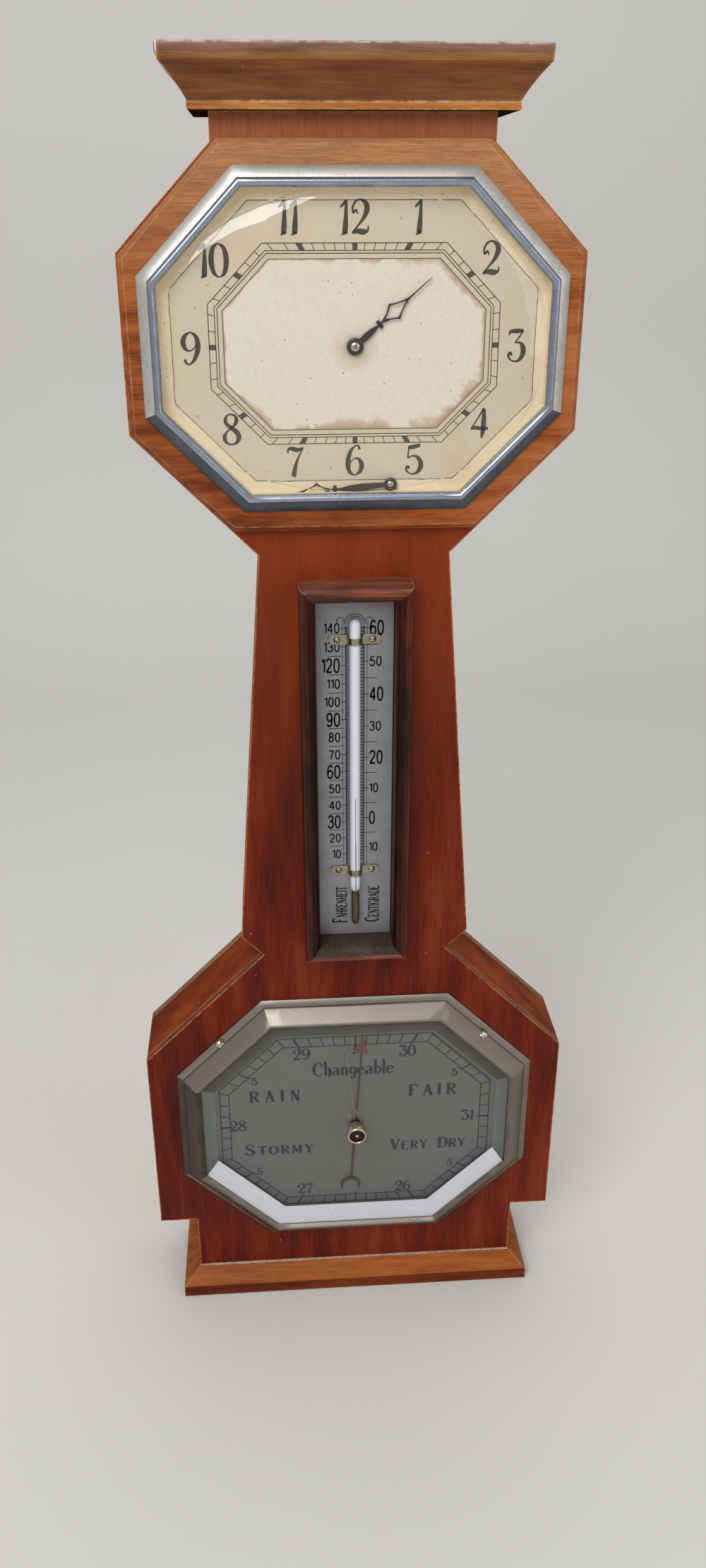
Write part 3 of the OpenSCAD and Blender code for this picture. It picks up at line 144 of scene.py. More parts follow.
def makeWoodFigure():
    group, given, out = startGroup("woodFigure", [
        ("Vector", "Vector", None), ("Dark", "Color", None), ("Middle", "Color", None),
        ("Light", "Color", None), ("Fibre Width", "Float", 0.0008),
        ("Ribbon Width", "Float", 0.012), ("Pores", "Float", 0.4)],
        [("Color", "Color"), ("Height", "Float"), ("Gloss", "Float")])
    # The grain runs along Z of the incoming vector, so each texture is drawn out that way
    swayScale, swayReach, patchScale, poreFineness = 14.0, 0.010, 9.0, 1.9
    fibreShare, ribbonShare, patchShare = 0.42, 0.58, 0.5
    lowTones, highTones, poreEdge = (0.34, 0.50), (0.50, 0.68), (0.60, 0.70)
    poreBlack, poreDepth = (0.012, 0.005, 0.003, 1), 0.72
    sway = addNode(group, "TexNoise", {"Vector": scaled(group, given["Vector"], (1, 1, 0.35)),
                                       "Scale": swayScale, "Detail": 1.0}).outputs["Color"]
    bent = addNode(group, "VectorMath", {0: sway, 1: (swayReach, swayReach, 0.0), 2: given["Vector"]},
                   operation="MULTIPLY_ADD").outputs[0]
    fibreScale = scaleFor(group, given["Fibre Width"])
    fibre = cloud(group, scaled(group, bent, (1, 1, 0.035)), fibreScale, 4.0, 0.62)
    ribbon = cloud(group, scaled(group, bent, (1, 1, 0.16)), scaleFor(group, given["Ribbon Width"]), 2.0,
                   0.55)
    patch = cloud(group, scaled(group, given["Vector"], (1, 1, 0.4)), patchScale, 2.0, 0.5)
    pore = cloud(group, scaled(group, bent, (1, 1, 0.05)), times(group, fibreScale, poreFineness), 2.0, 0.5)
    tone = plus(group, times(group, fibre, fibreShare), times(group, ribbon, ribbonShare))
    tone = plus(group, tone, times(group, minus(group, patch, 0.5), patchShare))
    low = mixColour(group, spread(group, tone, *lowTones), given["Dark"], given["Middle"])
    colour = mixColour(group, spread(group, tone, *highTones), low, given["Light"])
    poreShare = times(group, spread(group, pore, *poreEdge), given["Pores"])
    colour = mixColour(group, poreShare, colour, mixColour(group, poreDepth, given["Dark"], poreBlack))
    feed(group, out, {"Color": colour, "Height": minus(group, times(group, fibre, 0.5), poreShare),
                      "Gloss": plus(group, times(group, patch, 0.5), times(group, poreShare, 0.5))})
    return group


def makeEdgeWear():
    group, given, out = startGroup("edgeWearAndHighlight", [("Width", "Float", 0.0008), ("Amount", "Float", 0.6)],
                                   [("Mask", "Float")])
    breakUpScale, broadScale, turnedAway = 260.0, 28.0, (0.995, 0.90)
    # Pale lines along the arrises: partly rubbed finish, partly painted highlight
    rounded = addNode(group, "Bevel", {"Radius": given["Width"]}, samples=6).outputs[0]
    flat = addNode(group, "NewGeometry").outputs["Normal"]
    facing = addNode(group, "VectorMath", {0: rounded, 1: flat}, operation="DOT_PRODUCT").outputs["Value"]
    edge = spread(group, facing, *turnedAway)
    place = objectPlace(group)
    rough = spread(group, cloud(group, place, breakUpScale, 4.0, 0.65), 0.36, 0.62)
    broad = spread(group, cloud(group, place, broadScale, 2.0), 0.35, 0.6, 0.35, 1.0)
    feed(group, out, {"Mask": times(group, times(group, edge, given["Amount"]), times(group, rough, broad),
                                    True)})
    return group


def makeSettledDust():
    group, given, out = startGroup("settledDust", [("Amount", "Float", 0.4)], [("Mask", "Float")])
    patchScale, grainScale, faceUp = 50.0, 900.0, (0.35, 0.95)
    up = axes(group, addNode(group, "NewGeometry").outputs["Normal"])["Z"]
    place = objectPlace(group)
    broad = spread(group, cloud(group, place, patchScale, 4.0, 0.6), 0.35, 0.65, 0.4, 1.0)
    fine = spread(group, cloud(group, place, grainScale, 2.0), 0.3, 0.7, 0.6, 1.0)
    lying = times(group, spread(group, up, *faceUp), given["Amount"])
    feed(group, out, {"Mask": times(group, lying, times(group, broad, fine), True)})
    return group


def makeWhiteSpecks():
    group, given, out = startGroup("whiteSpecks", [
        ("Spacing", "Float", 0.012), ("Size", "Float", 0.035), ("Amount", "Float", 0.7)],
        [("Mask", "Float")])
    leftOut = 0.55
    cells = addNode(group, "TexVoronoi", {"Vector": objectPlace(group),
                                          "Scale": scaleFor(group, given["Spacing"])})
    near = calc(group, "LESS_THAN", cells.outputs["Distance"], given["Size"])
    lot = addNode(group, "SeparateColor", {0: cells.outputs["Color"]}).outputs[0]
    chosen = calc(group, "GREATER_THAN", lot, leftOut)
    feed(group, out, {"Mask": times(group, times(group, near, chosen), given["Amount"])})
    return group


def makePlateWear():
    group, given, out = startGroup("plateWear", [
        ("Pit Size", "Float", 0.0007), ("Pits", "Float", 0.4), ("Tarnish", "Float", 0.4)],
        [("Pit Mask", "Float"), ("Tarnish Mask", "Float"), ("Height", "Float")])
    tarnishScale, pitEdge, tarnishEdge = 100.0, (0.56, 0.66), (0.45, 0.68)
    place = objectPlace(group)
    spots = cloud(group, place, scaleFor(group, given["Pit Size"]), 3.0, 0.6)
    broad = cloud(group, place, tarnishScale, 4.0, 0.6)
    pits = times(group, spread(group, spots, *pitEdge),
                 times(group, given["Pits"], spread(group, broad, 0.35, 0.6, 0.3, 1.0)), True)
    feed(group, out, {"Pit Mask": pits, "Height": times(group, pits, -1.0),
                      "Tarnish Mask": times(group, spread(group, broad, *tarnishEdge), given["Tarnish"],
                                            True)})
    return group


def makeRimStain():
    # Brown staining that creeps in from the edges of an octagonal panel, and a halo round its middle
    group, given, out = startGroup("rimStain", [
        ("Half Width", "Float", 60.0), ("Half Height", "Float", 40.0), ("Corner", "Float", 20.0),
        ("Centre Height", "Float", 600.0)], [("Mask", "Float")])
    blotScale, haloReach, diagonal = 60.0, (13.0, 4.0), 0.7071
    place = objectPlace(group)
    spot = axes(group, scaled(group, place, (1000, 1000, 1000)))
    height = minus(group, spot["Z"], given["Centre Height"])
    x, z = calc(group, "ABSOLUTE", spot["X"]), calc(group, "ABSOLUTE", height)
    left, up = minus(group, given["Half Width"], x), minus(group, given["Half Height"], z)
    slant = times(group, minus(group, plus(group, left, up), given["Corner"]), diagonal)
    depth = calc(group, "MINIMUM", calc(group, "MINIMUM", left, up), slant)
    blot = spread(group, cloud(group, place, blotScale, 4.0, 0.6), 0.42, 0.72, 0.6, 5.5)
    # Damp came in from the right and from below
    blot = times(group, blot, spread(group, minus(group, spot["X"], height), -60.0, 80.0, 0.7, 2.4))
    creep = spread(group, calc(group, "DIVIDE", depth, blot), 1.0, 0.0, 0.0, 0.85)
    hub = calc(group, "SQRT", plus(group, times(group, x, x), times(group, z, z)))
    halo = times(group, spread(group, hub, *haloReach), spread(group, blot, 1.0, 4.0, 0.15, 0.5))
    feed(group, out, {"Mask": calc(group, "MAXIMUM", creep, halo, True)})
    return group


woodFigure = makeWoodFigure()
rimStain = makeRimStain()
edgeWearAndHighlight = makeEdgeWear()
settledDust = makeSettledDust()
whiteSpecks = makeWhiteSpecks()
plateWear = makePlateWear()
print("shader groups made")


# Materials

def startMaterial(name):
    material = bpy.data.materials.new(name)
    material.use_nodes = True
    tree = material.node_tree
    return material, tree, tree.nodes["Principled BSDF"]


def bumped(tree, height, strength, distance):
    return addNode(tree, "Bump", {"Height": height, "Strength": strength, "Distance": distance}).outputs[0]


turns = {"upright": (0.0, 0.0, 0.0), "level": (0.0, math.pi / 2, 0.0)}
usualWood = dict(grain="level", fibre=0.0007, ribbon=0.006, pores=0.3, dust=0.05, rough=0.4, sheen=0.22,
                 coat=0.06,
                 coatRough=0.22, specks=0.6, dustColour="#8b7a6c", speckColour="#c9bcae")


def veneer(name, look):
    material, tree, shader = startMaterial(name)
    place = objectPlace(tree)
    height = axes(tree, place)["Z"]
    turned = addNode(tree, "Mapping", {"Vector": place, "Rotation": turns[look["grain"]]}).outputs[0]
    wood = useGroup(tree, woodFigure, {
        "Vector": turned, "Dark": paint(look["dark"]), "Middle": paint(look["middle"]),
        "Light": paint(look["light"]), "Fibre Width": look["fibre"], "Ribbon Width": look["ribbon"],
        "Pores": look["pores"]})
    worn = useGroup(tree, edgeWearAndHighlight, {"Width": look["wearWidth"], "Amount": look["wear"]})["Mask"]
    dust = useGroup(tree, settledDust, {"Amount": look["dust"]})["Mask"]
    specks = useGroup(tree, whiteSpecks, {"Amount": look["specks"]})["Mask"]
    colour = wood["Color"]
    if "faded" in look:
        # Paler wood above one height, still with its grain: partly a paler tone of the wood, partly painted
        # light, on the neck where the cornice shades it and as a sheen on the board's upper faces
        low, high, tone, most = look["faded"]
        raggedness, grainShade, grainEdge = 0.004, 0.55, (0.08, 0.30)
        share = spread(tree, plus(tree, height, times(tree, wood["Gloss"], raggedness)), low, high, 0.0,
                       most)
        deep = [part * grainShade for part in paint(tone)[:3]] + [1.0]
        figured = mixColour(tree, spread(tree, wood["Height"], *grainEdge), deep, paint(tone))
        colour = mixColour(tree, share, colour, figured)
    if "sunned" in look:
        # The finish is warmer and lighter towards the top of the trunk
        low, high, tone, most = look["sunned"]
        colour = mixColour(tree, spread(tree, height, low, high, 0.0, most), colour, paint(tone))
    # The edge mask lays the edge tone along the arrises, partly as rubbed finish and partly as painted
    # highlight
    for mask, tone in ((worn, "edge"), (dust, "dustColour"), (specks, "speckColour")):
        colour = mixColour(tree, mask, colour, paint(look[tone]))
    shade = spread(tree, wood["Gloss"], 0.1, 0.6, look["rough"] - 0.05, look["rough"] + 0.12)
    shade = plus(tree, shade, times(tree, plus(tree, worn, dust), 0.25), True)
    feed(tree, shader, {"Base Color": colour, "Roughness": shade, "Specular IOR Level": look["sheen"],
                        "Coat Weight": look["coat"], "Coat Roughness": look["coatRough"],
                        "Normal": bumped(tree, wood["Height"], 0.25, 0.00015)})
    return material


usualMetal = dict(metallic=1.0, pits=0.2, pitSize=0.0006, pitColour="#3a3733", tarnish=0.35,
                  tarnishColour="#5d5343",
                  brush=(1, 1, 1), brushScale=900.0, brushShade=0.25, brushDepth=0.2, relief=0.3)


def metal(name, look):
    material, tree, shader = startMaterial(name)
    wear = useGroup(tree, plateWear, {"Pit Size": look["pitSize"], "Pits": look["pits"],
                                      "Tarnish": look["tarnish"]})
    brush = cloud(tree, scaled(tree, objectPlace(tree), look["brush"]), look["brushScale"], 3.0, 0.6)
    colour = mixColour(tree, spread(tree, brush, 0.3, 0.7, 0.0, look["brushShade"]),
                       paint(look["colour"]), paint(look["shade"]))
    colour = mixColour(tree, wear["Tarnish Mask"], colour, paint(look["tarnishColour"]))
    colour = mixColour(tree, wear["Pit Mask"], colour, paint(look["pitColour"]))
    rough = spread(tree, brush, 0.3, 0.7, look["rough"] - 0.04, look["rough"] + 0.06)
    rough = plus(tree, rough, times(tree, plus(tree, wear["Tarnish Mask"], wear["Pit Mask"]), 0.3), True)
    height = plus(tree, times(tree, brush, look["brushDepth"]), wear["Height"])
    feed(tree, shader, {"Base Color": colour, "Metallic": look["metallic"], "Roughness": rough,
                        "Normal": bumped(tree, height, look["relief"], 0.0001)})
    return material


usualPrint = dict(metallic=0.0, sheen=0.4, alpha=1.0, brush=(1, 1, 1), grainScale=700.0, stains=0.3,
                  stainColour="#a08a60", specks=0.0, speckSpacing=0.011, speckColour="#6b5a40")


def printed(name, look):
    # Dial papers, lacquers and inks: a tone with fine grain, stains and specks
    material, tree, shader = startMaterial(name)
    stainScale, speckSize = 22.0, 0.07
    place = objectPlace(tree)
    grain = cloud(tree, scaled(tree, place, look["brush"]), look["grainScale"], 4.0, 0.6)
    stain = cloud(tree, place, stainScale, 4.0, 0.55)
    colour = mixColour(tree, spread(tree, grain, 0.3, 0.7), paint(look["colour"]), paint(look["shade"]))
    colour = mixColour(tree, spread(tree, stain, 0.55, 0.75, 0.0, look["stains"]), colour,
                       paint(look["stainColour"]))
    specks = useGroup(tree, whiteSpecks, {"Spacing": look["speckSpacing"], "Size": speckSize,
                                          "Amount": look["specks"]})["Mask"]
    colour = mixColour(tree, specks, colour, paint(look["speckColour"]))
    if "rimStain" in look:
        tone, size = look["rimStain"]
        mask = useGroup(tree, rimStain, {"Half Width": size[0], "Half Height": size[1], "Corner": size[2],
                                         "Centre Height": clockZ})["Mask"]
        colour = mixColour(tree, mask, colour, paint(tone))
    rough = spread(tree, grain, 0.3, 0.7, look["rough"] - 0.05, look["rough"] + 0.05)
    feed(tree, shader, {"Base Color": colour, "Metallic": look["metallic"],
                        "Specular IOR Level": look["sheen"],
                        "Alpha": look["alpha"], "Roughness": rough, "Normal": bumped(tree, grain, 0.15,
                                                                                     0.00003)})
    return material


def clearGlass(name, look):
    material, tree, shader = startMaterial(name)
    smearScale, refraction = 35.0, 1.45
    smear = cloud(tree, objectPlace(tree), smearScale, 3.0)
    feed(tree, shader, {"Base Color": mixColour(tree, smear, paint(look["colour"]), paint(look["shade"])),
                        "Roughness": spread(tree, smear, 0.4, 0.8, 0.0, 0.05), "Transmission Weight": 1.0,
                        "IOR": refraction})
    # Light passes straight through to what lies behind the glass
    clear = addNode(tree, "BsdfTransparent")
    path = addNode(tree, "LightPath").outputs
    both = addNode(tree, "MixShader", {0: calc(tree, "MAXIMUM", path["Is Shadow Ray"],
                                               path["Is Diffuse Ray"]),
                                       1: shader.outputs[0], 2: clear.outputs[0]})
    feed(tree, tree.nodes["Material Output"], {"Surface": both.outputs[0]})
    return material


woods = {
    # The neck is paler, partly as painted light where the cornice shades it, and the edge tone along its
    # arrises is partly painted highlight
    "frontVeneer": dict(grain="upright", dark="#431007", middle="#671c09", light="#7f3113", fibre=0.0009,
                        ribbon=0.014, wearWidth=0.0015, wear=2.2, edge="#c9803f", dust=0.03, rough=0.36,
                        sheen=0.13, coat=0.03, sunned=(0.33, 0.56, "#964219", 0.55),
                        faded=(0.700, 0.722, "#c8906a", 0.8)),
    "sideVeneer": dict(grain="upright", dark="#581d06", middle="#82350b", light="#9b4a15", fibre=0.001,
                       ribbon=0.02, pores=0.35, wearWidth=0.0011, wear=1.2, edge="#cf8f55", dust=0.0,
                       rough=0.5, sheen=0.03, coat=0.0),
    # The board's upper faces turn paler, partly dust and partly painted sheen
    "boardVeneer": dict(dark="#6a2f14", middle="#984f23", light="#b06a3a", fibre=0.0006, pores=0.5,
                        wearWidth=0.0013, wear=1.1, edge="#dca884", rough=0.38, sheen=0.16, coat=0.04,
                        specks=0.8, faded=(0.655, 0.712, "#c79568", 0.6)),
    "corniceWood": dict(dark="#673a1e", middle="#804c28", light="#925e34", pores=0.35, wearWidth=0.0014,
                        wear=1.0, edge="#d8c8b8", dust=0.25, rough=0.42, sheen=0.18),
    "corniceTop": dict(dark="#613f2b", middle="#7b5340", light="#8f6a56", wearWidth=0.0022, wear=1.9,
                       edge="#e9dfd4", dust=0.35, rough=0.5),
    "cornicePale": dict(dark="#8f5324", middle="#b87432", light="#c98b45", fibre=0.0008, wearWidth=0.0009,
                        wear=1.0, edge="#e8cfa6", dust=0.06, sheen=0.18),
    # A dark matte copy of the cornice wood for its underside: painted shade
    "corniceUnder": dict(dark="#2a150a", middle="#3c2011", light="#4d2d19", fibre=0.0008,
                         wearWidth=0.0009, wear=0.3, edge="#7a5636", dust=0.0, rough=0.7, sheen=0.0,
                         coat=0.0, specks=0.0),
    "corniceChamfer": dict(dark="#6f4524", middle="#8f6136", light="#a37547", pores=0.35,
                           wearWidth=0.0018, wear=1.6, edge="#d9c3a6", dust=0.1, sheen=0.18),
    "plinthWood": dict(dark="#743711", middle="#964b18", light="#ae6426", fibre=0.0008, ribbon=0.009,
                       pores=0.35, wearWidth=0.0012, wear=1.2, edge="#e4b27a", dust=0.06, sheen=0.1,
                       coat=0.02),
    "plinthEdge": dict(dark="#3f1708", middle="#61240d", light="#783614", fibre=0.0008, ribbon=0.008,
                       pores=0.35, wearWidth=0.0011, wear=1.2, edge="#c98a52", dust=0.03, sheen=0.12,
                       coat=0.02),
    "rosewoodMoulding": dict(grain="upright", dark="#1c0703", middle="#3f1307", light="#6a2a10",
                             ribbon=0.005, wearWidth=0.0011, wear=1.7, edge="#b06a38", dust=0.12,
                             rough=0.3, coat=0.16, coatRough=0.1, sheen=0.14),
    # A darker copy for the side rails' inner slopes: painted shade
    "rosewoodInner": dict(grain="upright", dark="#120502", middle="#2b0d05", light="#491c0c",
                          ribbon=0.005, wearWidth=0.0009, wear=1.4, edge="#8a5030", rough=0.36, coat=0.08,
                          coatRough=0.15, sheen=0.1),
    "rosewoodLevel": dict(dark="#3c160c", middle="#7c3c24", light="#a9633c", ribbon=0.005,
                          wearWidth=0.0012, wear=1.1, edge="#cda182", dust=0.3, rough=0.3, coat=0.3,
                          coatRough=0.12, sheen=0.2),
    # A darker copy for the top rail's inner slope: painted shade
    "rosewoodFall": dict(dark="#240c06", middle="#4f1e10", light="#74351d", ribbon=0.005,
                         wearWidth=0.0009, wear=1.4, edge="#b98a68", dust=0.1, rough=0.3, coat=0.3,
                         coatRough=0.12, sheen=0.16),
    "backWood": dict(grain="upright", dark="#6b4a2c", middle="#8f6a43", light="#a98358", fibre=0.0012,
                     ribbon=0.03, pores=0.5, wearWidth=0.0007, wear=0.5, edge="#c9a778", dust=0.1,
                     rough=0.6, coat=0.0, specks=0.3),
}
metals = {
    "nickelClockBezel": dict(colour="#d8d6d0", shade="#bdbcb6", rough=0.34, metallic=0.8, pits=0.5,
                             pitSize=0.0009, pitColour="#6b6a5f", tarnish=0.3, tarnishColour="#a5a498",
                             relief=0.45),
    # A dark blue-grey copy of the bezel nickel for its lower sides, which face down: painted shade and
    # reflection
    "nickelClockShade": dict(colour="#565c66", shade="#363b43", rough=0.34, metallic=0.8, pits=0.5,
                             pitSize=0.0009, pitColour="#2c2a28", tarnish=0.4, tarnishColour="#7b7f88",
                             relief=0.45),
    "nickelBeadLine": dict(colour="#aab3c2", shade="#8491a8", rough=0.24, pits=0.35, pitColour="#3a4250",
                           tarnish=0.25, tarnishColour="#5d6778", relief=0.4),
    "nickelBarometerBezel": dict(colour="#928a82", shade="#867e75", rough=0.4, pits=0.02, pitSize=0.0008,
                                 pitColour="#5c564a", tarnish=0.08, tarnishColour="#8f877b",
                                 brushDepth=0.03, brushShade=0.12, relief=0.03),
    # Darker copies of the bezel nickel, dark brown for the left side and dimmer for the right side and
    # lower diagonals: painted shade
    "nickelBarometerShade": dict(colour="#544a40", shade="#41382f", rough=0.3, pits=0.02, pitSize=0.0008,
                                 pitColour="#2e2822", tarnishColour="#776c60", relief=0.05),
    "nickelBarometerDull": dict(colour="#7d756b", shade="#6b6359", rough=0.3, pits=0.02, pitSize=0.0008,
                                pitColour="#4a443b", tarnish=0.3, tarnishColour="#a0988c", relief=0.05),
    "nickelScrew": dict(colour="#cfcac0", shade="#a8a397", rough=0.18, pits=0.1, tarnish=0.2),
    "silveredPlate": dict(colour="#98969b", shade="#86858b", rough=0.45, metallic=0.4, pits=0.1,
                          pitSize=0.0004, tarnish=0.25, tarnishColour="#767069", brush=(1, 1, 14),
                          brushScale=420.0, brushShade=0.6, relief=0.1),
    "silveredDial": dict(colour="#676665", shade="#5a5a59", rough=0.5, metallic=0.3, pits=0.12,
                         pitSize=0.0004, tarnish=0.25, tarnishColour="#66635f", brushShade=0.5, relief=0.1),
    "agedBrass": dict(colour="#a9905c", shade="#7c6a42", rough=0.34, pits=0.3, pitColour="#4a3c22",
                      tarnish=0.5, tarnishColour="#6b6046"),
    "dullNickel": dict(colour="#aaa48f", shade="#857f6c", rough=0.32, pits=0.25, pitColour="#4c4636",
                       tarnish=0.4, tarnishColour="#6f6853"),
    "knobBrass": dict(colour="#dccfb2", shade="#b5a88a", rough=0.25, pits=0.15, pitColour="#4a3c22",
                      tarnish=0.3, tarnishColour="#8a7b54"),
    "paleBrass": dict(colour="#8e897d", shade="#77736a", rough=0.3, pits=0.1, tarnish=0.3,
                      tarnishColour="#7d745c"),
    "keyBrass": dict(colour="#b8924c", shade="#8d6d34", rough=0.3, tarnish=0.4, tarnishColour="#6a5430"),
    "movementBrass": dict(colour="#c9a862", shade="#ac8b4a", rough=0.3, pits=0.1, tarnish=0.25,
                          tarnishColour="#8a7446", brush=(1, 1, 16), brushScale=300.0, brushShade=0.5),
    "polishedSteel": dict(colour="#9d9fa2", shade="#7c7e82", rough=0.26, tarnish=0.3,
                          tarnishColour="#5c5a58"),
    "bluedSpring": dict(colour="#3a4a6e", shade="#26314c", rough=0.26, pits=0.1, tarnish=0.3,
                        tarnishColour="#4b4352"),
    "tinnedCapsule": dict(colour="#a9a797", shade="#86846f", rough=0.36, pits=0.25, tarnish=0.4,
                          tarnishColour="#77745f", brushScale=500.0),
    "castIron": dict(colour="#4d4a45", shade="#35332f", rough=0.55, metallic=0.7, pits=0.5,
                     pitSize=0.0012, tarnish=0.3, tarnishColour="#5a4a3a"),
    "spacerMetal": dict(colour="#6f6d67", shade="#55534e", rough=0.4, tarnish=0.4),
}
prints = {
    "creamMargin": dict(colour="#e9dabd", shade="#dfcdab", rough=0.5, stains=0.35, stainColour="#c9b080",
                        specks=0.6, speckSpacing=0.006),
    "champagneBand": dict(colour="#d6c8b1", shade="#c8b89c", rough=0.45, metallic=0.1, stains=0.4,
                          stainColour="#bda683", brush=(14, 1, 1), grainScale=260.0, specks=0.35),
    "creamCentre": dict(colour="#e4dacb", shade="#dcd0bd", rough=0.5, stains=0.15, stainColour="#c9ae88",
                        specks=0.9, speckSpacing=0.0055, speckColour="#86664a",
                        rimStain=("#a07c4e", (63.8, 39.7, 23.0))),
    "dialInk": dict(colour="#39332b", shade="#4d453a", rough=0.7, stains=0.0, sheen=0.1),
    "fineInk": dict(colour="#453d31", shade="#5a5142", rough=0.7, stains=0.0, sheen=0.1),
    "scaleInk": dict(colour="#08080a", shade="#141416", rough=0.7, stains=0.0, sheen=0.1),
    "etchedInk": dict(colour="#101012", shade="#1e1e20", rough=0.7, stains=0.2, stainColour="#3a3b3c",
                      sheen=0.1),
    "handEnamel": dict(colour="#14110e", shade="#221b16", rough=0.35, stains=0.4, stainColour="#5a4636"),
    "pointerEnamel": dict(colour="#221412", shade="#341d19", rough=0.45, stains=0.4,
                          stainColour="#1a1010", sheen=0.2),
    "pointerRed": dict(colour="#6b332b", shade="#5a2a24", rough=0.45, stains=0.4, stainColour="#472420",
                       sheen=0.2),
    "opalGlass": dict(colour="#e4e6f0", shade="#dadce8", rough=0.12, stains=0.1, stainColour="#b9bcc6"),
    "tubeColumn": dict(colour="#5e626b", shade="#474b55", rough=0.2, metallic=0.6, stains=0.0),
    "bulbGlass": dict(colour="#6a5c44", shade="#2c251a", rough=0.15, metallic=0.4, brush=(9, 9, 0.5),
                      grainScale=220.0, stains=0.5, stainColour="#a08d5e"),
    # Painted reflection for the barometer glass's bevel slopes: pale, grey and dark
    "groundBevel": dict(colour="#dfe1e6", shade="#c9ccd4", rough=0.25, stainColour="#b7b9c2"),
    "sideBevel": dict(colour="#828a84", shade="#727b76", rough=0.3, stainColour="#6a6f68", alpha=0.45),
    "topBevel": dict(colour="#4d4844", shade="#3f3b38", rough=0.3, stainColour="#5a544e", alpha=0.55),
    "jointDust": dict(colour="#b8a89a", shade="#8f7c6c", rough=0.9, stains=0.5, stainColour="#6f5a4a"),
    # A dark dusty tone for the ledge round the plate and the bottom rail's inner slope: dust and painted
    # shade
    "ledgeDust": dict(colour="#473a32", shade="#2f241d", rough=0.9, stains=0.45, stainColour="#6f665c",
                      specks=0.8, speckSpacing=0.005, speckColour="#bdb7aa"),
}
glasses = {
    "domedGlass": dict(colour="#ffffff", shade="#fdfdfc"),
    "bevelledGlass": dict(colour="#ffffff", shade="#fafbfa"),
}
finish = {}
for make, usual, looks in ((veneer, usualWood, woods), (metal, usualMetal, metals),
                           (printed, usualPrint, prints),
                           (clearGlass, {}, glasses)):
    finish.update({name: make(name, {**usual, **look}) for name, look in looks.items()})
print("materials made:", len(finish))


# Mesh helpers

def insetSize(size, inset):
    return [size[0] - inset, size[1] - inset, size[2] - inset * (2 - math.sqrt(2))]


def octagon(size, inset=0.0):
    # size is [half width, half height, leg of the cut corners] in mm
    # The points run anticlockwise as seen from the front
    a, b, c = insetSize(size, inset)
    return [(a, b - c), (a - c, b), (c - a, b), (-a, b - c), (-a, c - b), (c - a, -b), (a - c, -b),
            (a, c - b)]


def unevenOctagon(size, insets):
    # The same outline with its eight sides moved in by their own amounts
    a, b, c = size
    slant = (a + b - c) / math.sqrt(2)
    lines = []
    for side, reach in enumerate((slant, b, slant, a, slant, b, slant, a)):
        angle = math.radians(45 * (side + 1))
        lines.append((math.cos(angle), math.sin(angle), reach - insets[side]))
    points = []
    for (p, q, r), (u, v, w) in zip(lines[-1:] + lines[:-1], lines):
        cross = p * v - q * u
        points.append(((r * v - w * q) / cross, (p * w - u * r) / cross))
    return points


def rectangle(size, inset=0.0):
    a, b = size[0] - inset, size[1] - inset
    return [(a, b), (-a, b), (-a, -b), (a, -b)]


def vertex(bm, x, y, z):
    return bm.verts.new(Vector((x, y, z)) * mm)


def bridge(bm, one, two, material=0):
    # Joins two closed rings of as many vertices each
    for i in range(len(one)):
        j = (i + 1) % len(one)
        bm.faces.new((one[i], one[j], two[j], two[i])).material_index = material


def capEnds(bm, first, last):
    bm.faces.new(first)
    bm.faces.new(list(reversed(last)))


def pointOutward(bm):
    bmesh.ops.recalc_face_normals(bm, faces=bm.faces)


def faceFront(bm):
    for face in bm.faces:
        face.normal_update()
        if face.normal.y > 0:
            face.normal_flip()


def linked(name, data):
    thing = bpy.data.objects.new(name, data)
    bpy.context.scene.collection.objects.link(thing)
    return thing


def smoothMesh(name, bm, materials):
    mesh = bpy.data.meshes.new(name)
    bm.to_mesh(mesh)
    bm.free()
    for polygon in mesh.polygons:
        polygon.use_smooth = True
    for each in materials:
        mesh.materials.append(finish[each])
    return mesh


def settle(name, bm, material, body="case", slot=None, sharp=32, materials=None):
    # Turns built geometry into a piece that rides on a body, with crisp edges above sharp degrees
    mesh = smoothMesh(name, bm, materials or [material])
    mesh.set_sharp_from_angle(angle=math.radians(sharp))
    piece = linked(name, mesh)
    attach(piece, body)
    return piece


def mitredRing(name, shape, size, profile, centre, material, steps=1, wobble=None, materialOf=None, **more):
    # Sweeps a closed profile of (inset, depth) points in mm round an outline, mitred at its corners
    bm = bmesh.new()
    loops = [shape(size, inset) for inset, depth in profile]
    count = len(loops[0])
    rows = []
    for side in range(count):
        for step in range(steps):
            t = step / steps
            row = []
            for (inset, depth), loop in zip(profile, loops):
                p, q = loop[side], loop[(side + 1) % count]
                point = Vector((p[0] + (q[0] - p[0]) * t, depth, p[1] + (q[1] - p[1]) * t))
                if wobble:
                    point = wobble(point, inset, side, t)
                row.append(vertex(bm, point.x + centre[0], point.y, point.z + centre[1]))
            rows.append(row)
    for i, row in enumerate(rows):
        following = rows[(i + 1) % len(rows)]
        for j in range(len(profile)):
            k = (j + 1) % len(profile)
            face = bm.faces.new((row[j], row[k], following[k], following[j]))
            if materialOf:
                face.material_index = materialOf(i // steps, j)
    pointOutward(bm)
    return settle(name, bm, material, **more)


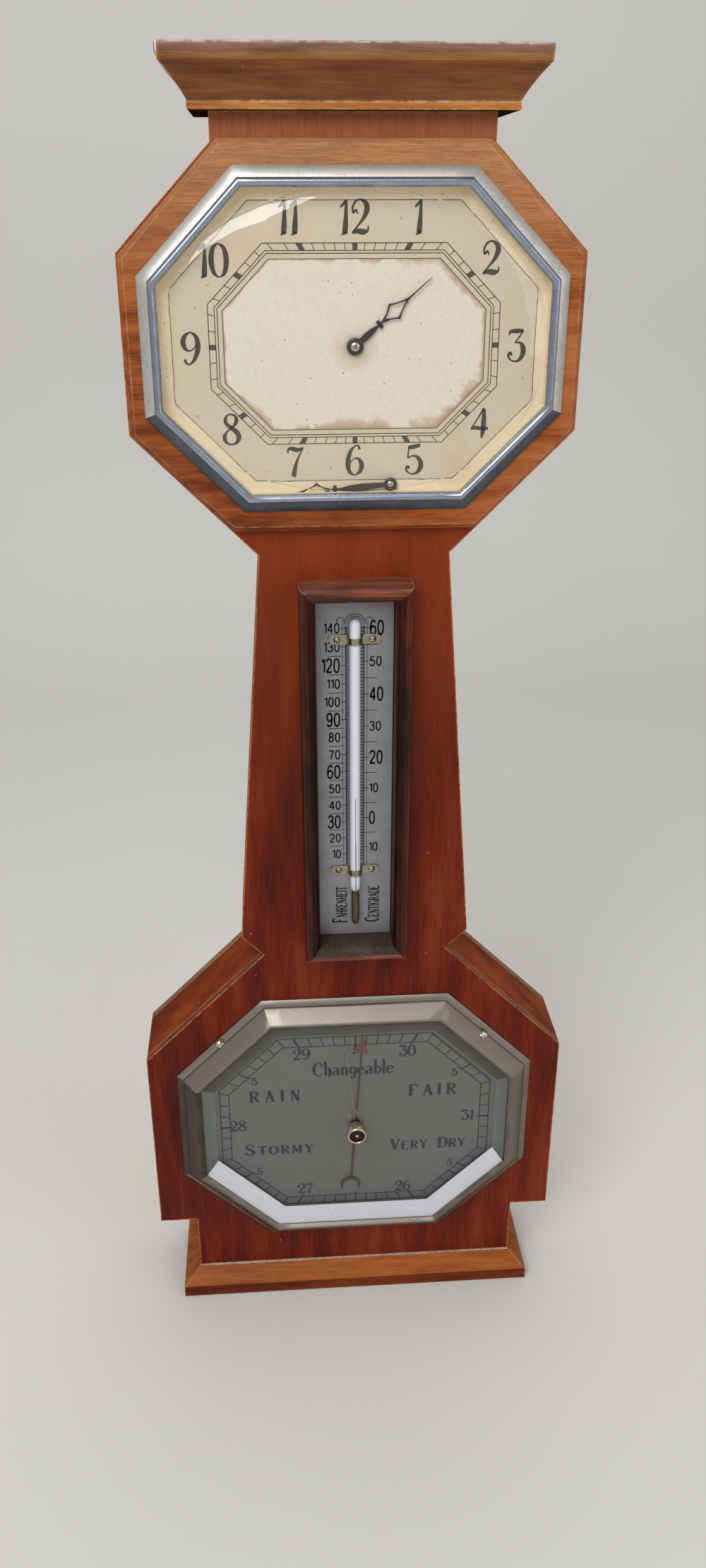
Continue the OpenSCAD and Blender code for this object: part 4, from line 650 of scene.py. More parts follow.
def mouldedBlock(name, sections, material, frontSteps, sideSteps, wobble, materialOf, **more):
    # Stacked sections of (half width, front, height) in mm, all with their flat back at blockBack
    bm = bmesh.new()
    loops = []
    for half, front, height in sections:
        corners = [Vector((x, y, height)) for x, y in ((-half, blockBack), (-half, front), (half, front),
                                                       (half, blockBack))]
        path = []
        for start, end, steps in zip(corners, corners[1:], (sideSteps, frontSteps, sideSteps)):
            path += [start.lerp(end, i / steps) for i in range(steps)]
        path.append(corners[-1])
        loops.append([bm.verts.new(wobble(p, half, front, height) * mm) for p in path])
    # The underside counts as level -1
    for level, (low, high) in enumerate(zip(loops, loops[1:])):
        bridge(bm, low, high, materialOf(level))
    bm.faces.new(list(reversed(loops[0]))).material_index = materialOf(-1)
    bm.faces.new(loops[-1])
    pointOutward(bm)
    return settle(name, bm, material, **more)


def spun(bm, profile, place, sides=48, ripple=None):
    # Turns (radius, depth) points in mm about an axis along Y through place (x, z)
    rings = []
    for radius, depth in profile:
        ring = []
        for i in range(sides):
            a = 2 * math.pi * i / sides
            r = radius + (ripple(i, depth) if ripple else 0.0)
            ring.append(vertex(bm, place[0] + r * math.sin(a), depth, place[1] + r * math.cos(a)))
        rings.append(ring)
    for one, two in zip(rings, rings[1:]):
        bridge(bm, one, two)
    bm.faces.new(list(reversed(rings[0])))
    bm.faces.new(rings[-1])
    return rings


def cutOut(bm, outline, near, far):
    # A flat shape given by (x, z) points in mm, from depth near to depth far
    front, back = [[vertex(bm, x, depth, z) for x, z in outline] for depth in (near, far)]
    bridge(bm, front, back)
    bm.faces.new(list(reversed(front)))
    bm.faces.new(back)


def sheet(bm, outline, depth):
    bm.faces.new([vertex(bm, x, depth, z) for x, z in outline])


def turnAbout(angle, centre):
    # A function that turns (x, z) points by this many degrees and moves them to centre
    turn = Matrix.Rotation(math.radians(angle), 2)

    def turned(points):
        flats = [turn @ Vector(p) for p in points]
        return [(flat.x + centre[0], flat.y + centre[1]) for flat in flats]
    return turned


def smoothPath(points, perSpan=6):
    # Catmull-Rom curve through the points, with whatever they carry after x and z
    ends = [points[0]] + list(points) + [points[-1]]
    path = []
    for p0, p1, p2, p3 in zip(ends, ends[1:], ends[2:], ends[3:]):
        for i in range(perSpan):
            t = i / perSpan
            path.append(tuple(0.5 * (2 * b + (c - a) * t + (2 * a - 5 * b + 4 * c - d) * t * t
                                     + (3 * b - a - 3 * c + d) * t ** 3)
                              for a, b, c, d in zip(p0, p1, p2, p3)))
    return path + [points[-1]]


# Strokes of the figures and letters in a cell 1 high, as runs of (x, z, weight): weight 0 is the
# thinnest line the pen makes and 1 its full breadth
dialFigures = {
    "0": [[(.29, 1, 0), (.11, .86, .7), (.04, .5, 1), (.11, .14, .7), (.29, 0, 0), (.47, .14, .7),
          (.54, .5, 1), (.47, .86, .7), (.29, 1, 0)]],
    "1": [[(0, .78, .1), (.09, .86, .3), (.19, .99, .1)], [(.20, 1, .3), (.19, .6, .6), (.17, .25, 1),
          (.15, .02, 1)], [(.04, -.03, 0), (.20, .05, .5)]],
    "2": [[(.22, .58, 0), (.16, .70, .2), (.07, .62, .2), (.05, .78, .2), (.15, .95, .2), (.31, 1, .15),
          (.48, .90, .8), (.52, .72, 1), (.42, .48, .6), (.22, .24, .15), (.03, .03, 0)], [(.03, .02, .1),
          (.20, .08, .8), (.40, .06, 1), (.54, .10, .3), (.57, .24, 0)]],
    "3": [[(.03, .84, 0), (.08, .95, .5), (.30, .97, .8), (.52, .98, .4)], [(.52, .99, .1), (.40, .80, .1),
          (.24, .60, 0)], [(.24, .60, 0), (.42, .59, .3), (.53, .44, 1), (.53, .22, 1), (.40, .03, .4),
          (.22, 0, .1), (.06, .10, .2), (.04, .22, .4), (.11, .27, .4), (.14, .18, .2)]],
    "4": [[(.44, 1, .2), (.26, .68, .1), (.01, .31, 0)], [(.01, .31, .2), (.16, .35, .7), (.40, .32, .6),
          (.62, .33, .5)], [(.46, 1, .4), (.46, .6, 1), (.45, .3, 1), (.40, 0, .2)]],
    "5": [[(.12, .91, .5), (.30, .93, .8), (.53, .99, .5)], [(.13, .97, .1), (.11, .76, .1),
          (.09, .55, .1)], [(.09, .54, 0), (.24, .62, .1), (.42, .58, .5), (.55, .40, 1), (.54, .20, 1),
          (.40, .03, .4), (.22, 0, .1), (.06, .10, .2), (.04, .20, .4), (.11, .25, .4), (.14, .17, .2)]],
    "6": [[(.46, .86, .5), (.42, .98, .2), (.30, .98, .1), (.14, .80, .6), (.05, .48, 1), (.08, .16, .8),
          (.20, .02, .3), (.32, 0, .1), (.48, .12, .7), (.54, .32, 1), (.47, .50, .6), (.34, .57, .1),
          (.20, .50, 0), (.11, .36, 0)]],
    "7": [[(.01, .80, 0), (.05, .94, .4), (.20, .95, .8), (.36, .91, .8), (.56, .98, .1)], [(.56, .99, 0),
          (.40, .68, .2), (.28, .38, .6), (.22, .08, 1), (.18, 0, .7)]],
    "8": [[(.30, .55, .8), (.14, .68, .6), (.10, .82, .6), (.17, .96, .2), (.30, 1, .1), (.44, .95, .3),
          (.49, .82, .7), (.43, .67, .5), (.30, .55, .1), (.14, .42, .2), (.05, .24, .8), (.12, .06, .4),
          (.30, 0, .1), (.46, .06, .5), (.55, .22, 1), (.49, .40, 1), (.30, .55, .8)]],
    "9": [[(.08, .16, .5), (.14, .03, .2), (.26, .01, .1), (.42, .18, .6), (.54, .50, 1), (.52, .82, .8),
          (.40, .97, .3), (.27, 1, .1), (.11, .88, .7), (.05, .68, 1), (.12, .50, .6), (.25, .43, .1),
          (.40, .50, 0), (.49, .64, 0)]],
}
plainFigures = {
    "0": [[(.29, 1), (.12, .88), (.05, .5), (.12, .12), (.29, 0), (.46, .12), (.53, .5), (.46, .88),
          (.29, 1)]],
    "1": [[(.05, .82), (.18, .90), (.27, 1)], [(.27, 1), (.27, 0)]],
    "2": [[(.06, .76), (.12, .93), (.29, 1), (.47, .92), (.52, .75), (.44, .52), (.05, .03)], [(.05, .02),
          (.55, .02)]],
    "3": [[(.07, .84), (.16, .96), (.29, 1), (.45, .94), (.50, .77), (.43, .60), (.24, .54)], [(.24, .54),
          (.46, .48), (.54, .28), (.46, .07), (.28, 0), (.12, .05), (.04, .20)]],
    "4": [[(.42, 1), (.22, .64), (.03, .28)], [(.03, .28), (.58, .28)], [(.42, 1), (.42, 0)]],
    "5": [[(.48, .98), (.12, .98)], [(.12, .98), (.09, .52)], [(.09, .52), (.28, .62), (.47, .53),
          (.54, .32), (.46, .08), (.27, 0), (.11, .05), (.04, .18)]],
    "6": [[(.50, .84), (.42, .97), (.30, 1), (.14, .86), (.06, .5), (.08, .2), (.18, .04), (.30, 0),
          (.46, .08), (.53, .30), (.46, .52), (.30, .60), (.15, .52), (.08, .36)]],
    "7": [[(.04, .97), (.54, .97)], [(.54, .97), (.36, .55), (.24, 0)]],
    "8": [[(.29, .54), (.13, .64), (.09, .80), (.16, .95), (.29, 1), (.42, .95), (.49, .80), (.45, .64),
          (.29, .54), (.10, .42), (.04, .24), (.12, .05), (.29, 0), (.46, .05), (.54, .24), (.48, .42),
          (.29, .54)]],
    "9": [[(.08, .16), (.16, .03), (.28, 0), (.44, .14), (.52, .5), (.50, .80), (.40, .96), (.28, 1),
          (.12, .92), (.05, .70), (.12, .48), (.28, .40), (.43, .48), (.50, .64)]],
}


def stem(x, start=0, end=1):
    return [(x, start, 1), (x, end, 1)]


def foot(left, right, z=0):
    return [(left, z, .1), (right, z, .1)]


# Capitals with thick downstrokes and short feet
capitals = {
    "A": [foot(0, .14), [(.07, 0, .1), (.30, 1, .2)], [(.28, 1, 1), (.54, 0, 1)], foot(.15, .46, .36),
         foot(.44, .64)],
    "C": [[(.54, .70, .2), (.52, .90, .3), (.36, 1, .1), (.14, .86, .7), (.05, .5, 1), (.14, .14, .7),
          (.36, 0, .1), (.56, .20, .2)]],
    "D": [stem(.12), [(0, 1, .1), (.34, .98, .1), (.54, .78, .7), (.58, .5, 1), (.54, .22, .7),
          (.34, .02, .1), (0, 0, .1)]],
    "E": [stem(.12), [(.02, 1, .1), (.50, 1, .2), (.52, .82, .1)], [(.12, .52, .1), (.38, .52, .2)],
         [(.02, 0, .1), (.50, 0, .2), (.54, .20, .1)]],
    "F": [stem(.12), [(.02, 1, .1), (.50, 1, .2), (.52, .80, .1)], [(.12, .52, .1), (.40, .52, .2)],
         foot(.02, .24)],
    "G": [[(.54, .72, .2), (.50, .92, .3), (.34, 1, .1), (.14, .86, .7), (.05, .5, 1), (.14, .14, .7),
          (.34, 0, .1), (.50, .08, .3)], [(.52, 0, .8), (.52, .44, .8)], foot(.40, .62, .44)],
    "H": [stem(.12), stem(.52), foot(.12, .52, .52), foot(.02, .22, 1), foot(.02, .22), foot(.42, .62, 1),
         foot(.42, .62)],
    "I": [stem(.12), foot(.02, .22, 1), foot(.02, .22)],
    "M": [[(.06, 0, .2), (.12, 1, .2)], [(.12, 1, 1), (.36, .15, .8)], [(.36, .15, .1), (.60, 1, .1)],
         [(.60, 1, 1), (.64, 0, 1)], foot(0, .14), foot(.54, .74)],
    "N": [[(.10, 0, .2), (.10, 1, .2)], [(.10, 1, 1), (.52, 0, 1)], [(.52, 0, .1), (.52, 1, .1)],
         foot(0, .20), foot(.42, .62, 1)],
    "O": [[(.32, 1, .1), (.11, .84, .8), (.04, .5, 1), (.11, .16, .8), (.32, 0, .1), (.53, .16, .8),
          (.60, .5, 1), (.53, .84, .8), (.32, 1, .1)]],
    "R": [stem(.12), [(.02, 1, .1), (.34, .99, .1), (.49, .88, .8), (.49, .64, .8), (.34, .53, .1),
          (.12, .52, .1)], [(.30, .52, .7), (.58, 0, .9)], foot(.02, .24)],
    "S": [[(.48, .74, .2), (.46, .92, .2), (.30, 1, .1), (.12, .90, .6), (.10, .70, .8), (.28, .53, 1),
          (.48, .34, .9), (.48, .12, .6), (.28, 0, .1), (.09, .08, .2), (.06, .26, .2)]],
    "T": [stem(.31, 1, 0), [(.04, .84, .1), (.06, 1, .2), (.56, 1, .2), (.58, .84, .1)], foot(.20, .42)],
    "V": [[(.08, 1, 1), (.32, 0, .8)], [(.32, 0, .1), (.56, 1, .1)], foot(0, .18, 1), foot(.46, .66, 1)],
    "Y": [[(.08, 1, .9), (.31, .48, .8)], [(.31, .48, .1), (.54, 1, .1)], [(.31, .48, 1), (.31, 0, 1)],
         foot(0, .18, 1), foot(.44, .64, 1), foot(.20, .42)],
}
smallLetters = {
    "a": [[(.06, .50, .3), (.20, .56, .2), (.34, .46, .7), (.35, .12, 1), (.46, .0, .2)], [(.35, .32, .1),
          (.14, .28, .3), (.05, .14, .9), (.14, 0, .3), (.35, .12, .1)]],
    "b": [[(.02, .96, .2), (.10, 1, .8), (.10, .04, .9)], [(.10, .44, .1), (.24, .56, .2), (.38, .42, .9),
          (.38, .16, .9), (.24, 0, .2), (.10, .04, .1)]],
    "e": [[(.07, .30, .1), (.36, .34, .1), (.34, .50, .4), (.22, .57, .1), (.07, .42, .9), (.06, .16, .9),
          (.20, 0, .2), (.38, .12, .1)]],
    "g": [[(.36, .50, .1), (.20, .57, .1), (.06, .42, .9), (.08, .16, .8), (.22, .06, .1), (.36, .16, .1)],
         [(.34, .56, .8), (.36, .10, .9), (.30, -.18, .5), (.14, -.24, .3), (.04, -.12, .2)]],
    "h": [[(.02, .96, .2), (.10, 1, .8), (.10, 0, .9)], [(.10, .44, .1), (.24, .57, .3), (.36, .44, .9),
          (.36, .06, .9), (.28, -.12, .2)]],
    "l": [[(.02, .96, .2), (.10, 1, .8), (.10, .06, .9), (.18, 0, .2)]],
    "n": [[(.02, .50, .2), (.10, .56, .6), (.10, 0, .9)], [(.10, .44, .1), (.24, .57, .3), (.36, .44, .9),
          (.36, .06, .9), (.44, 0, .2)]],
}
letterWidths = {"1": 0.30, "I": 0.24, "M": 0.74, "O": 0.64, "l": 0.20, "a": 0.44, "b": 0.44, "e": 0.42,
                "g": 0.42,
                "h": 0.44, "n": 0.46}


def letterSteps(text, style):
    # The size of each letter and the step to the next, in cell heights
    space, usualWidth = 0.45, 0.60
    steps = []
    for i, letter in enumerate(text):
        size = style["small"] if i and text[i - 1] != " " else 1.0
        width = space if letter == " " else letterWidths.get(letter, usualWidth) * size
        steps.append((size, width + style["gap"]))
    return steps


def penStroke(bm, path, nib, toWorld):
    # A flat line whose breadth follows the weights, between the nib's thin and thick
    path = smoothPath(path) if len(path) > 2 else path
    pairs = []
    for i, point in enumerate(path):
        before, after = path[max(i - 1, 0)], path[min(i + 1, len(path) - 1)]
        run = Vector((after[0] - before[0], after[1] - before[1]))
        if run.length < tiny:
            continue
        weight = min(max(point[2], 0), 1) if len(point) > 2 else 1.0
        side = Vector((-run.y, run.x)).normalized() * (nib[1] + (nib[0] - nib[1]) * weight) / 2
        pairs.append([bm.verts.new(toWorld(point[0] + side.x * k, point[1] + side.y * k)) for k in (1, -1)])
    for (a, b), (c, d) in zip(pairs, pairs[1:]):
        bm.faces.new((a, b, d, c))


def write(bm, text, centre, style, depth, turn=0.0, align=0.5):
    # Draws the text with the middle of its height at centre (x, z), in mm, turned by degrees
    high, stretch = style["high"], style["stretch"]
    steps = letterSteps(text, style)
    pen = (style["gap"] - sum(step for size, step in steps)) * align
    rotate = Matrix.Rotation(math.radians(turn), 2)
    for letter, (size, step) in zip(text, steps):

        def toWorld(x, z, at=pen, size=size):
            flat = rotate @ Vector(((at + x * size) * high * stretch, (z * size - 0.5) * high))
            return Vector((centre[0] + flat.x, depth, centre[1] + flat.y)) * mm
        for stroke in style["shapes"].get(letter, []):
            penStroke(bm, stroke, (style["thick"] / high, style["thin"] / high), toWorld)
        pen += step


def rule(bm, p, q, width, depth):
    # A printed line from p to q
    run = Vector((q[0] - p[0], q[1] - p[1]))
    side = Vector((-run.y, run.x)).normalized() * width / 2
    corners = [(p[0] + side.x, p[1] + side.y), (p[0] - side.x, p[1] - side.y),
               (q[0] - side.x, q[1] - side.y), (q[0] + side.x, q[1] + side.y)]
    sheet(bm, corners, depth)


def ruleAlong(bm, points, width, depth):
    for p, q in zip(points, points[1:]):
        rule(bm, p, q, width, depth)


def outlineRule(bm, corners, centre, width, depth):
    moved = [(x + centre[0], z + centre[1]) for x, z in corners]
    ruleAlong(bm, moved + moved[:1], width, depth)


def edgeAlong(corners, angle):
    # Where a ray at this clock angle (degrees from twelve) leaves a convex outline
    ray = Vector((math.sin(math.radians(angle)), math.cos(math.radians(angle))))
    best = None
    for p, q in zip(corners, corners[1:] + corners[:1]):
        run = Vector((q[0] - p[0], q[1] - p[1]))
        cross = ray.x * run.y - ray.y * run.x
        if not cross:
            continue
        t = (p[0] * run.y - p[1] * run.x) / cross
        u = (p[0] * ray.y - p[1] * ray.x) / cross
        if t > 0 and -tiny <= u <= 1 + tiny and (best is None or t < best):
            best = t
    return (ray.x * best, ray.y * best)


def dress(material, *nodes):
    # A CAD node keeps its mesh and takes one finish in all its material slots
    for node in nodes:
        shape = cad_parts[node].data
        if not shape.materials:
            shape.materials.append(None)
        for i in range(len(shape.materials)):
            shape.materials[i] = finish[material]


def middle(node):
    low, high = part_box(node)
    return [(low[i] + high[i]) / 2 / mm for i in range(3)]


# Case

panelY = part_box("front_panel")[0][1] / mm
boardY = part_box("clock_board")[0][1] / mm
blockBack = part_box("cornice")[1][1] / mm
baroZ = middle("barometer_bezel")[2]

dress("frontVeneer", "front_panel")
dress("sideVeneer", "head_sides", "trunk_sides", "lower_sides")
dress("backWood", "back_board")
dress("keyBrass", "hanger_plate", "winding_key", "setting_knob", "adjusting_screw")
dress("agedBrass", "wood_screws")


def ruffle(point, size, amount, seed):
    return noise.noise(Vector((point.x + seed, point.y, point.z)) / size) * amount


board = dict(size=[109.7, 87.9, 47.3], bevel=2.4, hole=12.0, chipFrom=0.52, chipDepth=2.2, chipMost=1.2)


def boardWobble(point, inset, side, t):
    # The bevel's edges are worn, so they waver a little and are chipped here and there
    worn = ruffle(point, 9.0, 0.075, 3.0)
    chip = max(0.0, ruffle(point, 4.0, 1.0, 40.0) - board["chipFrom"]) * board["chipDepth"]
    if 0 < t < 1 and inset == 0:
        point = point + Vector((0, worn + chip, 0))
        point.y = min(max(point.y, boardY), boardY + board["chipMost"])
    return point


def makeClockBoard():
    bevel, hole = board["bevel"], board["hole"]
    profile = [(-bevel, panelY), (-bevel, boardY + bevel), (-bevel * 0.5, boardY + bevel * 0.42),
               (0, boardY),
               (1.2, boardY), (hole, boardY), (hole, panelY)]
    piece = mitredRing("clockBoard", octagon, board["size"], profile, (0, clockZ), "boardVeneer", steps=40,
                       wobble=boardWobble, slot="board_veneer")
    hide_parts("clock_board")


makeClockBoard()

cornice = dict(neck=66.6, bottom=730.448, filletOut=9.3, filletHigh=3.4, coveHigh=15.2, coveOut=11.2,
               coveSag=3.2, chamferHigh=2.8, reach=21.8, top=756.148, wornHigh=6.0, chipFrom=0.42,
               chipDepth=2.6)


def corniceWobble(point, half, front, height):
    # Rounded front corners, and a rubbed and chipped top edge
    reach = cornice["wornHigh"]
    if height < cornice["top"] - reach:
        return point
    chip = max(0.0, ruffle(point, 5.0, 1.0, 11.0) - cornice["chipFrom"]) * cornice["chipDepth"]
    rub = abs(ruffle(point, 14.0, 0.35, 5.0))
    corner = (max(0.0, 1 - min(abs(abs(point.x) - half), reach) / reach)
              * max(0.0, 1 - abs(point.y - front) / reach))
    point = point + Vector((-math.copysign(corner * 0.9, point.x), corner * 0.9, 0))
    if height > cornice["top"] - 0.1:
        point = point + Vector((0, rub * (1 if abs(point.y - front) < 1.5 else 0), -chip * 0.8 - rub * 0.5))
    return point


def makeCornice():
    c = cornice
    fillet, reach, top, soft = c["filletOut"], c["reach"], c["top"], 0.4
    z1 = c["bottom"] + c["filletHigh"]
    z2 = z1 + c["coveHigh"] + c["chamferHigh"]
    steps = [(fillet - soft, c["bottom"]), (fillet, c["bottom"] + soft), (fillet, z1 - 0.5),
             (fillet - soft, z1)]
    for i in range(1, 11):
        t = i / 10
        steps.append((fillet - soft + (c["coveOut"] + soft) * t - c["coveSag"] * t * (1 - t),
                      z1 + c["coveHigh"] * t))
    steps += [(reach - 0.15, z2), (reach, z2 + 0.5), (reach, top - 0.9), (reach - 0.3, top - 0.3),
              (reach - 1.0, top)]
    sections = [(c["neck"] + out, panelY - out, z) for out, z in steps]
    # Underside in a dark matte copy as painted shade, pale fillet, chamfer and top band; the hollow splay
    # between them takes the first wood
    parts = {-1: 3, 0: 1, 1: 1, 2: 1, 13: 4, 14: 2, 15: 2, 16: 2, 17: 2}
    piece = mouldedBlock("cornice", sections, "corniceWood", frontSteps=130, sideSteps=30,
                         wobble=corniceWobble,
                         materialOf=lambda level: parts.get(level, 0), slot="cornice_wood",
                         materials=["corniceWood", "cornicePale", "corniceTop", "corniceUnder",
                                    "corniceChamfer"])
    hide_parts("cornice")


makeCornice()

plinth = dict(foot=108.7, out=11.4, edgeHigh=8.3, high=17.7)


def plinthWobble(point, half, front, height):
    # Its front face isn't quite flat any more
    return point + Vector((0, abs(ruffle(point, 12.0, 0.25, 9.0)) if abs(point.y - front) < 1 else 0, 0))


def makePlinth():
    p = plinth
    rise, run = p["high"] - p["edgeHigh"], p["out"]
    levels = [(run - 0.3, 0.0), (run, 0.4), (run, p["edgeHigh"] - 0.5), (run - 0.35, p["edgeHigh"] + 0.2)]
    levels += [(run * (1 - t), p["edgeHigh"] + rise * t) for t in (0.25, 0.5, 0.75, 0.96)]
    levels += [(0.0, p["high"])]
    sections = [(p["foot"] + out, panelY - out, z) for out, z in levels]
    piece = mouldedBlock("plinth", sections, "plinthWood", frontSteps=90, sideSteps=24, wobble=plinthWobble,
                         materialOf=lambda level: 1 if level < 3 else 0, materials=["plinthWood",
                                                                                    "plinthEdge"],
                         slot="plinth_wood")
    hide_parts("plinth")
    # Pale dust lies in the joint where the plinth meets the foot
    bm = bmesh.new()
    dice = random.Random(4)
    steps, above, pairs = 120, 0.8, []
    for i in range(steps + 1):
        x = -p["foot"] + 2 * p["foot"] * i / steps
        width = 0.5 + 0.5 * dice.random()
        pairs.append((vertex(bm, x, panelY - 0.05, p["high"] + width * above),
                      vertex(bm, x, panelY - width, p["high"] - width * rise / run + 0.08)))
    for (a, b), (c, d) in zip(pairs, pairs[1:]):
        bm.faces.new((a, b, d, c))
    faceFront(bm)
    settle("plinthJointDust", bm, "jointDust", slot="plinth_wood")


makePlinth()
print("case dressed")


# Thermometer

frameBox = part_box("thermometer_frame")
thermoZ = (frameBox[0][2] + frameBox[1][2]) / 2 / mm
thermoHalfHigh = (frameBox[1][2] - frameBox[0][2]) / 2 / mm
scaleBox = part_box("thermometer_plate")
scaleY = scaleBox[0][1] / mm
scaleBottom = scaleBox[0][2] / mm
thermometer = dict(half=30.6, width=8.8, sideHigh=15.0, high=20.0, tubeY=-19.6, tubeR=3.0, stemTop=489.3,
                   stemBottom=321.3, bulbBottom=297.3, columnTop=383.0, clips=(477.3, 333.3), clipHalf=14.5,
                   clipHigh=6.0, screwX=9.8)


def framePart(side, inner):
    # The top and bottom lengths are dusty; the slopes that fall to the plate take darker copies as painted
    # shade, the bottom one dusty as well
    if side == 0:
        return 3 if inner else 1
    if side == 2:
        return 4 if inner else 1
    return 2 if inner else 0


def makeThermometerFrame():
    t = thermometer
    # Flat sides, a rounded outer corner, then a gently hollowed face that falls to the plate
    rise = t["high"] - t["sideHigh"]
    crown = [(0, 0), (0.25, 0.42), (0.9, 0.74), (1.9, 0.93), (3.0, 1.0), (4.4, 0.97), (5.9, 0.84),
             (7.2, 0.64), (8.2, 0.38),
             (t["width"], 0)]
    profile = [(0, panelY)] + [(x, panelY - t["sideHigh"] - rise * up) for x,
                               up in crown] + [(t["width"], panelY)]
    piece = mitredRing("thermometerFrame", rectangle, [t["half"], thermoHalfHigh], profile, (0, thermoZ),
                       "rosewoodMoulding", steps=24, sharp=40,
                       materialOf=lambda side, j: framePart(side, j >= 6),
                       materials=["rosewoodMoulding", "rosewoodLevel", "rosewoodInner", "rosewoodFall",
                                  "ledgeDust"],
                       slot="dark_moulding")
    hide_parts("thermometer_frame")
    # Dust and shadow on the ledge round the plate
    bm = bmesh.new()
    inner = rectangle([t["half"] - t["width"], thermoHalfHigh - t["width"]])
    cutOut(bm, [(x, z + thermoZ) for x, z in inner], panelY - 0.25, panelY - 0.02)
    settle("thermometerLedge", bm, "ledgeDust", slot="dark_moulding")


makeThermometerFrame()
dress("silveredPlate", "thermometer_plate")


def uprightShape(bm, levels, sides, material=0):
    # Turns (radius, height) points in mm about the tube's own axis
    rings = []
    for radius, z in levels:
        angles = [2 * math.pi * i / sides for i in range(sides)]
        rings.append([vertex(bm, radius * math.sin(a), thermometer["tubeY"] + radius * math.cos(a), z)
                      for a in angles])
    for one, two in zip(rings, rings[1:]):
        bridge(bm, one, two, material)
    capEnds(bm, rings[0], rings[-1])
    pointOutward(bm)


def makeTube():
    t = thermometer
    bm = bmesh.new()
    radius, top, bottom = t["tubeR"], t["stemTop"], t["stemBottom"]
    levels = [(0.3, top), (1.4, top - 0.25), (2.3, top - 1.0), (2.85, top - 2.2), (radius, top - 3.6)]
    levels += [(radius, top - 4 - i * 16.0) for i in range(10)]
    levels += [(radius, bottom + 5), (2.9, bottom + 2), (2.3, bottom), (1.9, bottom - 0.6)]
    uprightShape(bm, levels, 32)
    piece = settle("thermometerTube", bm, "opalGlass", slot="white_glass")
    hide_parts("thermometer_tube")


def makeColumn():
    t = thermometer
    bm = bmesh.new()
    # The bore shows through the front of the tube as a thin dark line
    front, bottom, low = t["tubeY"] - t["tubeR"], t["stemBottom"], t["bulbBottom"]
    for x0, x1, z1 in ((-0.22, 0.16, t["columnTop"]), (0.28, 0.42, t["columnTop"] - 30)):
        cutOut(bm, [(x0, bottom), (x1, bottom), (x1, z1), (x0, z1)], front - 0.03, front + 0.6)
    uprightShape(bm, [(0.3, bottom + 2.5), (1.0, bottom + 1.5), (1.5, bottom - 0.4), (2.2, bottom - 2),
                      (2.4, bottom - 4), (2.4, low + 3), (2.1, low + 1.2), (1.4, low + 0.3), (0.3,
                                                                                              low)], 28, 1)
    piece = settle("thermometerLiquid", bm, "tubeColumn", materials=["tubeColumn", "bulbGlass"],
                   slot="liquid")
    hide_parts("thermometer_liquid")


makeTube()
makeColumn()


def makeClips():
    t = thermometer
    bm = bmesh.new()
    arch, half, flat = t["tubeR"] + 0.05, t["clipHalf"], scaleY - 0.1
    thick, taper, endRound = 0.8, 0.94, 2.6
    for z in t["clips"]:
        # The strap's path across the plate and over the tube, then its thickness and rounded ends
        path = [(-half + d, flat, math.sin(math.acos(1 - d / endRound))) for d in (0, 0.25, 0.8, 1.6,
                                                                                   endRound)]
        path += [(-arch - 1.3, flat, 1.0), (-arch - 0.6, flat - 0.4, 0.8)]
        ends = [(-x, y, w) for x, y, w in reversed(path)]
        path += [(-arch * math.cos(a), t["tubeY"] - arch * math.sin(a), 0.62)
                 for a in [math.pi * i / 12 for i in range(13)]]
        path += ends
        rows = []
        for i, (x, y, w) in enumerate(path):
            before, after = path[max(i - 1, 0)], path[min(i + 1, len(path) - 1)]
            run = Vector((after[0] - before[0], after[1] - before[1])).normalized()
            out = Vector((run.y, -run.x)) * thick
            side = max(w, 0.12) * t["clipHigh"] / 2
            rows.append([vertex(bm, *p) for p in (
                (x, y, z - side), (x, y, z + side), (x + out.x, y + out.y, z + side * taper),
                (x + out.x, y + out.y, z - side * taper))])
        for one, two in zip(rows, rows[1:]):
            bridge(bm, one, two)
        capEnds(bm, rows[0], rows[-1])
    pointOutward(bm)
    piece = settle("tubeClips", bm, "dullNickel", slot="brass", sharp=50)
    bevel = piece.modifiers.new("softEdges", "BEVEL")
    bevel.width = 0.00012
    bevel.segments = 1
    bevel.limit_method = "ANGLE"
    bevel.angle_limit = math.radians(50)
    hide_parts("tube_clips")


def domeScrew(bm, place, seat, radius, rise, slotTurn, depth):
    # A domed head with a cut slot, its flat back at depth seat
    slotShare = 0.17
    profile = [(radius, seat)] + [(radius * math.cos(a), seat - rise * math.sin(a))
                                  for a in (0.15, 0.45, 0.8, 1.15)] + [(0.12, seat - rise)]
    rings = spun(bm, profile, place, 28)
    turn = Vector((math.cos(slotTurn), math.sin(slotTurn)))
    for ring in rings[1:]:
        for vert in ring:
            off = Vector((vert.co.x / mm - place[0], vert.co.z / mm - place[1]))
            if abs(off.dot(turn)) < radius * slotShare:
                vert.co.y = min(vert.co.y + depth * mm, seat * mm)


def makeClipScrews():
    bm = bmesh.new()
    for z in thermometer["clips"]:
        for sign in (-1, 1):
            domeScrew(bm, (sign * thermometer["screwX"], z), scaleY - 0.85, 1.95, 1.2, 0.6 + sign, 0.4)
    pointOutward(bm)
    piece = settle("clipScrews", bm, "dullNickel", slot="brass")
    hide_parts("clip_screws")


makeClips()
makeClipScrews()

# Height in mm of the Fahrenheit scale's zero, and of one degree
tempScale = dict(zeroF=333.05, perDegree=1.0754)


def heightF(degrees):
    return tempScale["zeroF"] + degrees * tempScale["perDegree"]


def heightC(degrees):
    return heightF(32 + degrees * 1.8)


